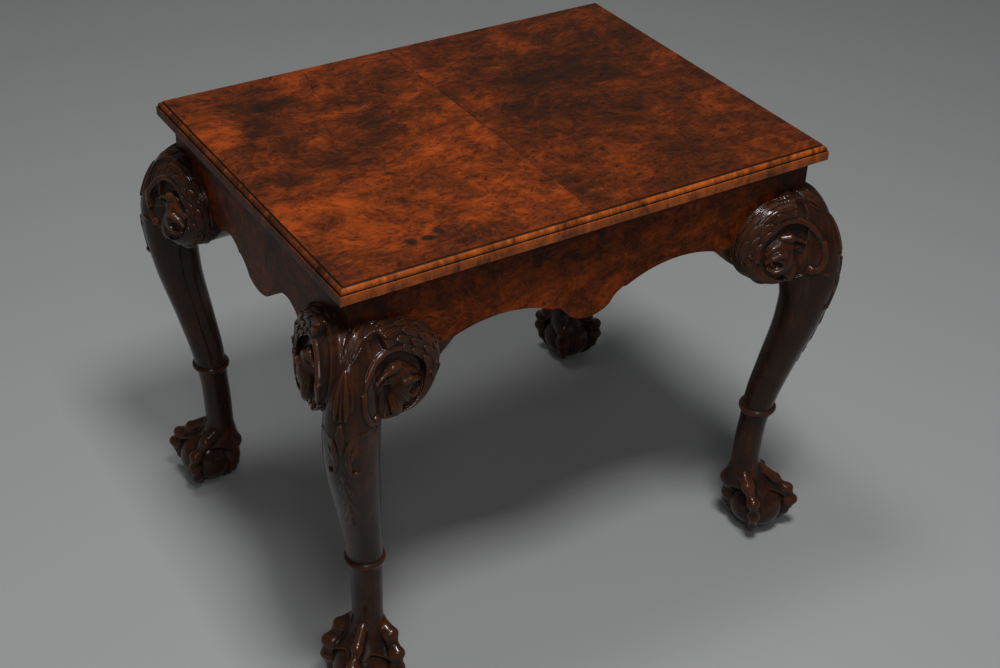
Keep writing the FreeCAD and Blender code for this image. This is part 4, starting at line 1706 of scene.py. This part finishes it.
    def ribbon(self, inset: Array, depth: Array) -> Array:
        """Relief of the bead's tail, which curls up on the leg.

        Args:
            inset, depth: Where to measure.

        Returns:
            The height of the relief.
        """
        x, y = self._drawn(inset, depth)
        away, along = stroke(x, y, self.TAIL)
        band = 2.2 * dome(away, 3.4) * ease(0.0, 0.12, along)
        out = np.hypot(x - self.CURL[0], y - self.CURL[1])
        return np.maximum(band, 3.4 * dome(out, 4.8) - crease(out, 1.1))


@dataclass
class KneeCarving:
    """Low relief down the front of the leg, over the distance across it and the depth."""

    STRAP = (
        (20.5, 137.2), (17.5, 137.8), (14.0, 138.8), (9.6, 142.4), (7.0, 148.0),
        (6.0, 156.0), (6.0, 166.0), (6.8, 175.0), (8.6, 181.5), (12.0, 184.0),
    )
    HUSKS = (                   # top, tip and width of each
        (181.0, 193.0, 2.6), (190.0, 212.0, 5.0), (211.0, 236.0, 4.4), (234.0, 252.0, 3.4),
        (250.0, 265.0, 2.4),
    )
    FAN = 79.0                  # depth of the point that the folds spread from
    BEAD = (125.6, 2.7)         # depth and radius
    BALL = (12.4, 181.6, 3.1)   # distance across, depth and radius

    pleat: float = 2.25         # height of a fold
    fold: float = 10.5          # degrees from one to the next

    def relief(self, across: Array, depth: Array) -> Array:
        """Height of the carving over the plain leg."""
        side = np.abs(across)
        return np.maximum.reduce([
            self._pleats(side, depth),
            self._leaf(side, depth),
            self._scroll(side, depth),
            self._husks(side, depth),
        ])

    def _pleats(self, side: Array, depth: Array) -> Array:
        """Fan of folds between the two discs.

        Args:
            side, depth: Where to measure.

        Returns:
            The height.
        """
        rise = self.FAN - depth
        angle = np.degrees(np.arctan2(side, np.maximum(rise, 0.5)))
        folds = 0.5 + 0.5 * np.cos(2.0 * np.pi * angle / self.fold)
        fan = ease(43.0, 37.0, angle) * ease(5.0, 14.0, np.hypot(side, rise))
        return self.pleat * folds * fan * window(depth, ((48.0, 52.0), (80.0, 74.0)))

    def _leaf(self, side: Array, depth: Array) -> Array:
        """Narrow leaf of long strands that hangs from the folds, with a bead and a pod below it.

        Args:
            side, depth: Where to measure.

        Returns:
            The height.
        """
        middle = leaflet(side, depth, ((0.0, 76.0), (0.0, 119.0)), 1.9, 1.9)
        inner = leaflet(side, depth, bend((0.8, 77.0), (5.6, 96.0), (4.9, 118.0)), 2.8, 2.7)
        outer = leaflet(side, depth, bend((1.8, 79.0), (10.6, 92.0), (9.0, 110.0)), 1.7, 1.2)
        level, radius = self.BEAD
        bead = 2.2 * dome(np.hypot(side, depth - level), radius)
        pod = leaflet(side, 0.0 - depth, ((0.0, -153.0), (0.0, -127.0)), 4.6, 1.9)
        return np.maximum.reduce([middle, inner, outer, bead, pod])

    def _scroll(self, side: Array, depth: Array) -> Array:
        """Strap bent like a C beside the centre, with a curled leaf inside and a ball below.

        Args:
            side, depth: Where to measure.

        Returns:
            The height.
        """
        away, along = stroke(side, depth, self.STRAP)
        width = 1.9 + 1.2 * np.sin(np.pi * np.clip(along * 1.1, 0.0, 1.0))
        across = np.clip(away / width, 0.0, 1.0)
        groove = 0.5 * crease(away, 0.55) * (along > 0.25)
        band = 2.3 * (1.0 - across ** 4) * (away < width) - groove
        curl = leaflet(side, depth, bend((6.6, 172.0), (8.0, 157.0), (15.5, 150.0)), 2.2, 2.0)
        offset, level, radius = self.BALL
        ball = 3.0 * dome(np.hypot(side - offset, depth - level), radius)
        return np.maximum.reduce([band, curl, ball])

    def _husks(self, side: Array, depth: Array) -> Array:
        """String of bellflowers, each smaller than the one above.

        Args:
            side, depth: Where to measure.

        Returns:
            The height.
        """
        relief = np.zeros(np.shape(side))
        for top, tip, width in self.HUSKS:
            length = tip - top
            middle = leaflet(side, depth, ((0.0, top), (0.0, tip)), width * 0.45, 1.9)
            spine = bend((0.4, top), (width * 0.55, top + length * 0.45), (width, tip - length * 0.22), 5)
            petal = leaflet(side, depth, spine, width * 0.36, 1.6)
            relief = np.maximum(relief, np.maximum(middle, petal))
        return relief


@dataclass
class Bracket:
    """Shaped bracket under the rail's end, in inset, proud and depth."""

    tip: tuple[float, float] = (111.0, 97.0)
    belly: tuple[float, float] = (81.0, 124.0)
    root: tuple[float, float] = (40.0, 145.0)
    thickness: float = 20.2
    top: float = 97.0
    inner_inset: float = 20.0

    def __post_init__(self) -> None:
        """Work out the circle through the three points of the lower edge."""
        (ax, ay), (bx, by), (cx, cy) = self.tip, self.belly, self.root
        twice = 2 * (ax * (by - cy) + bx * (cy - ay) + cx * (ay - by))
        a2, b2, c2 = ax * ax + ay * ay, bx * bx + by * by, cx * cx + cy * cy
        self.middle = (
            (a2 * (by - cy) + b2 * (cy - ay) + c2 * (ay - by)) / twice,
            (a2 * (cx - bx) + b2 * (ax - cx) + c2 * (bx - ax)) / twice,
        )
        self.radius = math.dist(self.middle, self.tip)

    def field(self, inset: Array, proud: Array, depth: Array) -> Array:
        """Distance to the bracket.

        Args:
            inset, proud, depth: Where to measure.

        Returns:
            The distance.
        """
        edge = self.radius - np.hypot(inset - self.middle[0], depth - self.middle[1])
        if self.middle[1] < self.belly[1]:
            edge = -edge
        below = np.where(inset < self.root[0], depth - self.root[1], edge)
        slab = np.maximum(proud, -proud - self.thickness)
        ends = np.maximum(inset - self.tip[0], self.inner_inset - inset)
        return np.maximum.reduce([below, slab, self.top - depth, ends])


@dataclass
class Lattice:
    """Box of sample points for meshing a field, in millimetres."""

    low: tuple[float, float, float]
    high: tuple[float, float, float]
    pitch: float
    coarse: int = 4             # fine cells along the side of a coarse one
    batch: int = 4000           # coarse cells worked out together
    slack: float = 2.6          # by which a field may overstate a distance

    def mesh(self, field: Callable[[Array, Array, Array], Array]) -> tuple[Array, Array]:
        """Surface where the field is zero.

        Args:
            field: Distance at arrays of x, y and z.

        Returns:
            Vertices in millimetres, and quads that wind outwards.
        """
        cell = self.pitch * self.coarse
        counts = [math.ceil((b - a) / cell) for a, b in zip(self.low, self.high)]
        middles = [a + (np.arange(n) + 0.5) * cell - self.pitch / 2 for a, n in zip(self.low, counts)]
        grid = np.meshgrid(*middles, indexing="ij")
        rough = self._batched(field, *(axis.ravel() for axis in grid)).reshape(counts)
        near = np.argwhere(np.abs(rough) < cell * 1.1 + self.slack)
        background = 2.0 * self.pitch
        fine = np.sign(rough).astype(np.float32) * background
        for axis in range(3):
            fine = np.repeat(fine, self.coarse, axis=axis)
        blocks = fine.reshape([side for count in counts for side in (count, self.coarse)])
        steps = np.arange(self.coarse) * self.pitch
        inner = np.meshgrid(steps, steps, steps, indexing="ij")
        for start in range(0, len(near), self.batch):
            cells = near[start:start + self.batch]
            spots = [
                self.low[axis] + cells[:, axis, None, None, None] * cell + inner[axis][None]
                for axis in range(3)
            ]
            values = field(*(spot.ravel() for spot in spots)).reshape(spots[0].shape)
            clipped = np.clip(values, -background, background)
            blocks[cells[:, 0], :, cells[:, 1], :, cells[:, 2], :] = clipped
        volume = openvdb.FloatGrid(background)
        volume.copyFromArray(fine)
        points, quads = volume.convertToQuads(isovalue=0.0)
        return points * self.pitch + np.array(self.low), quads.astype(np.int64)

    def _batched(self, field: Callable, x: Array, y: Array, z: Array) -> Array:
        """Work out a field a slice at a time, which keeps the arrays small."""
        size = self.batch * self.coarse ** 3
        slices = [slice(i, i + size) for i in range(0, len(x), size)]
        return np.concatenate([field(x[part], y[part], z[part]) for part in slices])


class Surface:
    """Quad mesh from a field, on its way to being a piece."""

    # Relief is read at two sizes: reach in millimetres, weight, and height that counts as much.
    SIZES = ((0.9, 0.5, 0.10), (2.6, 0.8, 0.45))

    def __init__(self, points: Array, quads: Array) -> None:
        """Keep the mesh and its neighbourhoods.

        Args:
            points: Vertices in millimetres.
            quads: Four vertex numbers to a face.
        """
        self.points = points
        self.quads = quads
        nexts = np.roll(quads, -1, axis=1)
        self.start = np.concatenate([quads.ravel(), nexts.ravel()])
        self.end = np.concatenate([nexts.ravel(), quads.ravel()])
        self.degree = np.bincount(self.start, minlength=len(points)).astype(float)

    def _average(self, values: Array) -> Array:
        """Mean over each vertex's neighbours."""
        size = len(self.points)
        columns = [np.bincount(self.start, values[self.end, i], size) for i in range(values.shape[1])]
        return np.stack(columns, axis=1) / self.degree[:, None]

    def smooth(self, passes: int, strength: float = 0.5) -> None:
        """Relax the vertices towards their neighbours."""
        for _ in range(passes):
            self.points = self.points + strength * (self._average(self.points) - self.points)

    def normals(self) -> Array:
        """Outward normal of each vertex.

        Returns:
            One unit vector to a vertex.
        """
        corners = self.points[self.quads]
        faces = np.cross(corners[:, 2] - corners[:, 0], corners[:, 3] - corners[:, 1])
        size = len(self.points)
        spread = np.repeat(faces, 4, axis=0)
        sums = [np.bincount(self.quads.ravel(), spread[:, i], size) for i in range(3)]
        sums = np.stack(sums, axis=1)
        return sums / np.maximum(np.linalg.norm(sums, axis=1, keepdims=True), 1e-12)

    def relief(self, pitch: float) -> Array:
        """How far each vertex stands over its surroundings: 1 on sharp ridges, -1 in deep hollows.

        Args:
            pitch: Spacing of the samples.

        Returns:
            One number to a vertex.
        """
        normals = self.normals()
        relaxed = self.points
        total = np.zeros(len(self.points))
        passed = 0
        for reach, weight, scale in self.SIZES:
            wanted = max(1, round((reach / pitch) ** 2 * 2.0))
            for _ in range(wanted - passed):
                relaxed = relaxed + 0.7 * (self._average(relaxed) - relaxed)
            passed = wanted
            proud = np.einsum("ij,ij->i", self.points - relaxed, normals)
            total += weight * np.tanh(proud / scale)
        return np.clip(total, -1.0, 1.0)

    def build(self, name: str, relief: Array) -> bpy.types.Mesh:
        """Blender mesh in metres, with its relief as an attribute.

        Args:
            name: The mesh's name.
            relief: One number to a vertex.

        Returns:
            The mesh.
        """
        mesh = bpy.data.meshes.new(name)
        mesh.vertices.add(len(self.points))
        mesh.vertices.foreach_set("co", (self.points * MM).astype(np.float32).ravel())
        mesh.loops.add(self.quads.size)
        mesh.loops.foreach_set("vertex_index", self.quads.astype(np.int32).ravel())
        mesh.polygons.add(len(self.quads))
        mesh.polygons.foreach_set("loop_start", np.arange(0, self.quads.size, 4, dtype=np.int32))
        mesh.update(calc_edges=True)
        layer = mesh.attributes.new("relief", "FLOAT", "POINT")
        layer.data.foreach_set("value", relief.astype(np.float32))
        return mesh


@dataclass
class CornerCarving:
    """The carved leg and its two ears, made for one corner and mirrored to the others."""

    corner: Corner = field(default_factory=Corner)
    stem: Stem = field(default_factory=Stem)
    foot: Foot = field(default_factory=Foot)
    knee: KneeCarving = field(default_factory=KneeCarving)
    long_volute: Volute = field(default_factory=Volute)
    short_volute: Volute = field(default_factory=lambda: Volute(radius=40.5, inset=44.5, depth=97.5))
    bracket: Bracket = field(default_factory=Bracket)
    leg_pitch: float = 0.65
    ear_pitch: float = 0.5
    quick_pitch: float = 1.3
    leg_triangles: int = 190000
    ear_triangles: int = 95000
    backing: float = 12.0       # how far a disc's root runs into the leg
    leg_top: float = 487.0
    margin: float = 3.0         # empty space round a part while it is meshed
    ear_depths: tuple[float, float] = (50.0, 150.0)
    knee_end: float = 175.0     # depth below which neither disc nor bracket reaches
    relief_end: float = 275.0   # and the knee's low carving
    ring_reach: float = 30.0    # above and below the ankle's ring
    foot_top: float = 110.0     # height

    def _axes(self, x: Array, y: Array, z: Array) -> tuple[Array, ...]:
        """Diagonal coordinates and depth of a point.

        Args:
            x, y, z: Where to measure.

        Returns:
            X and Y from the apron's corner, the place on the diagonal and square to it, and the depth.
        """
        cx, cy = x - self.corner.apron_x, y - self.corner.apron_y
        along = (cx + cy) * math.sqrt(0.5)
        across = (cx - cy) * math.sqrt(0.5) + self.corner.skew
        return cx, cy, along, across, self.corner.height - z

    def _disc(self, volute: Volute, inset: Array, proud: Array, depth: Array, back: float) -> Array:
        """One disc with its bird's head, cut off behind."""
        carved = join(volute.field(inset, proud, depth), volute.head(inset, proud, depth), 0.8)
        return keep(carved, back - proud)

    def leg(self, x: Array, y: Array, z: Array) -> Array:
        """Distance to the leg.

        Args:
            x, y, z: Where to measure.

        Returns:
            The distance, negative inside.
        """
        cx, cy, along, across, depth = self._axes(x, y, z)
        shape = self.stem.field(along, across, z)
        high = depth < self.relief_end
        if high.any():
            outer, inner, _ = self.stem.at(z[high])
            front = ease(-4.0, 12.0, along[high] - (outer + inner) / 2)
            shape[high] -= front * self.knee.relief(across[high], depth[high])
        ankle = np.abs(z - self.stem.ring_level) < self.ring_reach
        if ankle.any():
            ring = self.stem.ring(along[ankle], across[ankle], z[ankle])
            shape[ankle] = join(shape[ankle], ring, 0.8)
        low = z < self.foot_top
        if low.any():
            shape[low] = self.foot.field(along[low], across[low], z[low], shape[low])
        knee = depth < self.knee_end
        if knee.any():
            shape[knee] = self._knee(shape[knee], cx[knee], cy[knee], depth[knee])
        reach = np.maximum(x - self.corner.far_x, y - self.corner.far_y)
        return np.maximum(shape, reach + self.corner.shy)

    def _knee(self, stem: Array, cx: Array, cy: Array, depth: Array) -> Array:
        """Join the discs, the brackets' roots and the post to the knee.

        Args:
            stem: Distance to the plain leg.
            cx, cy: Place from the apron's corner.
            depth: Depth below the top.

        Returns:
            The distance.
        """
        at = self.corner
        long_disc = self._disc(self.long_volute, -cx, cy, depth, -self.backing)
        short_disc = self._disc(self.short_volute, -cy, cx, depth, -self.backing)
        shape = join(join(stem, long_disc, 1.2), short_disc, 1.2)
        for volute, inset, proud in ((self.long_volute, -cx, cy), (self.short_volute, -cy, cx)):
            shape = shape - volute.ribbon(inset, depth) * ease(12.0, 18.0, proud)
            shape = join(shape, self.bracket.field(inset, proud, depth), 1.0)
        post = np.maximum.reduce([
            cx + at.veneer, cy + at.veneer, -cx - at.post, -cy - at.post,
            at.height - at.underside - depth, depth - at.post_foot,
        ])
        return join(shape, post)

    def ear(self, volute: Volute, inset: Array, proud: Array, depth: Array) -> Array:
        """Distance to an ear."""
        disc = self._disc(volute, inset, proud, depth, 0.0)
        return join(disc, self.bracket.field(inset, proud, depth), 0.8)

    def long_ear(self, x: Array, y: Array, z: Array) -> Array:
        """Distance to the ear on a long side."""
        cx, cy, _, _, depth = self._axes(x, y, z)
        return self.ear(self.long_volute, -cx, cy, depth)

    def short_ear(self, x: Array, y: Array, z: Array) -> Array:
        """Distance to the ear on a short side."""
        cx, cy, _, _, depth = self._axes(x, y, z)
        return self.ear(self.short_volute, -cy, cx, depth)

    def _shape(
        self, name: str, distance: Callable, low: tuple[float, ...], high: tuple[float, ...],
        pitch: float, triangles: int, cuts: Sequence[tuple[int, float, int]],
    ) -> bpy.types.Mesh:
        """Mesh one carved part.

        Args:
            name: The mesh's name.
            distance: Its field.
            low: Lowest corner of the space that it fills.
            high: Highest corner.
            pitch: Spacing of the samples.
            triangles: Most faces that it may have.
            cuts: Planes that end it: axis, place, and 1 or -1 for the side that is cut away.

        Returns:
            The mesh.
        """
        points, quads = Lattice(low, high, pitch).mesh(distance)
        surface = Surface(points, quads)
        surface.smooth(1)
        mesh = surface.build(name, surface.relief(pitch))
        share = triangles / (2.0 * len(quads))
        if share < 1.0:
            mesh = self._thinned(mesh, share)
        solid = bmesh.new()
        solid.from_mesh(mesh)
        for axis, spot, side in cuts:
            self._trim(solid, axis, spot * MM, side)
        bmesh.ops.triangulate(solid, faces=[f for f in solid.faces if len(f.verts) > 4])
        for face in solid.faces:
            face.smooth = True
        solid.to_mesh(mesh)
        solid.free()
        LOG.info("%s: %d quads, kept share %.2f", name, len(quads), min(share, 1.0))
        return mesh

    def _thinned(self, mesh: bpy.types.Mesh, share: float) -> bpy.types.Mesh:
        """Drop faces where the surface is flat.

        Args:
            mesh: The mesh.
            share: Share of its faces to keep.

        Returns:
            The lighter mesh.
        """
        blank = bpy.data.objects.new("thinning", mesh)
        bpy.context.scene.collection.objects.link(blank)
        modifier = blank.modifiers.new("thin", "DECIMATE")
        modifier.ratio = share
        shaped = blank.evaluated_get(bpy.context.evaluated_depsgraph_get())
        thinned = bpy.data.meshes.new_from_object(shaped)
        bpy.data.objects.remove(blank)
        return thinned

    def _trim(self, solid: bmesh.types.BMesh, axis: int, spot: float, side: int) -> None:
        """Cut a mesh off at a plane and close it with a flat face.

        Args:
            solid: The mesh.
            axis: Axis that the plane is square to.
            spot: Its place on that axis.
            side: 1 or -1 for the side that is cut away.
        """
        middle, across = Vector((0, 0, 0)), Vector((0, 0, 0))
        middle[axis], across[axis] = spot, side
        whole = solid.verts[:] + solid.edges[:] + solid.faces[:]
        plane = {"plane_co": middle, "plane_no": across, "clear_outer": True}
        cut = bmesh.ops.bisect_plane(solid, geom=whole, **plane)
        edges = [item for item in cut["geom_cut"] if isinstance(item, bmesh.types.BMEdge)]
        for edge in edges:
            edge.smooth = False
        bmesh.ops.holes_fill(solid, edges=edges)

    def _mirrored(self, mesh: bpy.types.Mesh, name: str, sign_x: int, sign_y: int) -> bpy.types.Object:
        """Copy of a mesh in another corner.

        Args:
            mesh: The mesh of the first corner.
            name: The piece's name.
            sign_x, sign_y: 1 or -1 for the corner.

        Returns:
            The piece.
        """
        copy = mesh.copy()
        copy.name = name
        copy.transform(Matrix.Diagonal((sign_x, sign_y, 1, 1)))
        if sign_x * sign_y < 0:
            copy.flip_normals()
        piece = bpy.data.objects.new(name, copy)
        bpy.context.scene.collection.objects.link(piece)
        return piece

    def build(self, finish: bpy.types.Material) -> None:
        """Carve the four corners.

        Args:
            finish: Material of the carving.
        """
        at, gap = self.corner, self.margin
        leg_pitch = self.leg_pitch
        ear_pitch = self.ear_pitch
        x_cut, y_cut = at.apron_x - at.post, at.apron_y - at.post
        x_far, y_far = at.far_x + gap, at.far_y + gap
        end, back = self.bracket.tip[0] + gap, self.bracket.thickness + gap
        high_z, low_z = (at.height - depth for depth in self.ear_depths)
        leg = self._shape(
            "carved_leg", self.leg,
            (x_cut - gap, y_cut - gap, -gap), (x_far, y_far, self.leg_top),
            leg_pitch, self.leg_triangles, ((0, x_cut, -1), (1, y_cut, -1)),
        )
        long_ear = self._shape(
            "carved_long_ear", self.long_ear,
            (at.apron_x - end, at.apron_y - back, low_z), (x_cut + gap, y_far, high_z),
            ear_pitch, self.ear_triangles, ((0, x_cut, 1),),
        )
        short_ear = self._shape(
            "carved_short_ear", self.short_ear,
            (at.apron_x - back, at.apron_y - end, low_z), (x_far, y_cut + gap, high_z),
            ear_pitch, self.ear_triangles, ((1, y_cut, 1),),
        )
        for mesh in (leg, long_ear, short_ear):
            mesh.materials.clear()
            mesh.materials.append(finish)
        for word_y, sign_y in (("front", -1), ("back", 1)):
            for word_x, sign_x in (("left", -1), ("right", 1)):
                parts = (
                    (leg, f"leg_{word_y}_{word_x}"),
                    (long_ear, f"ear_{word_y}_{word_x}"),
                    (short_ear, f"ear_{word_x}_{word_y}"),
                )
                for mesh, node in parts:
                    place(self._mirrored(mesh, f"carved_{node}", sign_x, sign_y), "carved_walnut", node)


# ---- the table
# Both leaves' clouds are partly the burr's own figure and partly painted reflection and sheen of the polish.
LEFT_LEAF = BurrWalnut(
    "burr_left_leaf", srgb(141, 60, 13), srgb(94, 39, 8), srgb(55, 23, 6), srgb(29, 15, 8), 0.0,
    clouds=tuple(Cloud(*row) for row in (       # place, reach and strength
        (-0.190, 0.139, 0.045, -0.118), (-0.215, 0.102, 0.034, -0.15), (-0.236, 0.084, 0.022, -0.115),
        (-0.210, 0.046, 0.030, -0.108), (-0.232, -0.004, 0.026, -0.129), (-0.110, 0.070, 0.030, -0.111),
        (-0.171, 0.001, 0.050, -0.05), (-0.177, 0.077, 0.040, -0.043), (-0.178, 0.194, 0.050, -0.058),
        (-0.120, 0.020, 0.060, -0.036), (-0.262, 0.097, 0.040, 0.12), (-0.239, -0.113, 0.090, 0.065),
        (-0.080, -0.120, 0.080, 0.043), (-0.040, -0.010, 0.070, 0.058), (-0.090, 0.180, 0.060, 0.043),
    )),
    knots=(Knot(-0.185, -0.169, 0.0092), Knot(-0.168, -0.167, 0.0070), Knot(-0.153, -0.163, 0.0076)),
    shakes=(
        Shake(-0.137, -0.164, -0.146, -0.201), Shake(-0.115, 0.204, -0.118, 0.170),
        Shake(-0.118, 0.170, -0.133, 0.135), Shake(-0.008, 0.208, -0.008, -0.130),
    ),
    figure=(0.72, 1.0, 1.0),
)
RIGHT_LEAF = BurrWalnut(
    "burr_right_leaf", srgb(124, 52, 9), srgb(79, 32, 6), srgb(47, 20, 5), srgb(25, 14, 7), 4.3,
    clouds=tuple(Cloud(*row) for row in (
        (0.126, 0.058, 0.085, -0.079), (0.126, -0.037, 0.070, -0.036), (0.123, -0.112, 0.050, -0.029),
        (0.043, 0.008, 0.040, -0.065), (0.060, 0.150, 0.060, -0.058), (0.190, 0.110, 0.080, -0.036),
        (0.109, 0.155, 0.030, 0.086), (0.208, -0.182, 0.045, 0.058), (0.060, -0.150, 0.060, 0.05),
        (0.020, 0.060, 0.040, 0.036), (0.240, -0.060, 0.060, 0.022),
    )),
    shakes=(
        Shake(0.027, -0.149, 0.026, -0.193), Shake(0.133, -0.172, 0.138, -0.198),
        Shake(-0.008, 0.208, -0.008, -0.130),
    ),
    figure=(0.72, 1.0, 1.0),
)
APRON_BURR = BurrWalnut(
    "burr_apron", srgb(144, 62, 14), srgb(98, 41, 7), srgb(58, 25, 5), srgb(24, 13, 6), 8.1,
    figure=(0.8, 0.8, 1.0), polish=Polish(coat=0.05, specular=0.06),
)
POST_BURR = BurrWalnut(
    "burr_post", srgb(104, 46, 19), srgb(66, 30, 12), srgb(42, 20, 8), srgb(20, 12, 7), 12.6,
    polish=Polish(coat=0.05, specular=0.06),
)
FACING_X = CrossGrain("cross_grain_along_x", Lie.X)
# The end runs are darker than the front and back: painted shade on the table's two ends.
FACING_Y = CrossGrain(
    "cross_grain_along_y", Lie.Y, srgb(104, 50, 16), srgb(66, 30, 10), srgb(38, 18, 8), seed=9.0,
    polish=Polish(gloss=0.30, coat=0.08, specular=0.08),
)
CARVING = CarvedWalnut("carved_walnut")
PINE = PlainTimber("old_pine", Lie.X, srgb(176, 132, 84), srgb(112, 74, 42))
OAK_X = PlainTimber("old_oak_x", Lie.X, srgb(132, 96, 60), srgb(84, 56, 34), 80.0)
OAK_Y = PlainTimber("old_oak_y", Lie.Y, srgb(132, 96, 60), srgb(84, 56, 34), 80.0)
STEEL = OldSteel("old_steel")
CORNERS = ("front_left", "front_right", "back_left", "back_right")


def main() -> None:
    """Dress the table."""
    logging.basicConfig(level=logging.INFO, format="%(message)s")
    Studio().build()
    dress(LEFT_LEAF.build(), "top_veneer_left")
    dress(RIGHT_LEAF.build(), "top_veneer_right")
    dress(PINE.build(), "top_ground")
    apron = APRON_BURR.build()
    dress(apron, *(f"rail_veneer_{side.word}" for side in Side))
    dress(POST_BURR.build(), *(f"post_veneer_{corner}" for corner in CORNERS))
    oak_x, oak_y = OAK_X.build(), OAK_Y.build()
    for side in Side:
        dress(oak_x if side.long else oak_y, f"rail_{side.word}", f"fixing_blocks_{side.word}")
    dress(oak_x, *(f"corner_block_{corner}" for corner in CORNERS))
    EdgeMouldings().build(FACING_X.build(), FACING_Y.build())
    Screws().build(STEEL.build())
    CornerCarving().build(CARVING.build())


if __name__ == "__main__":
    main()
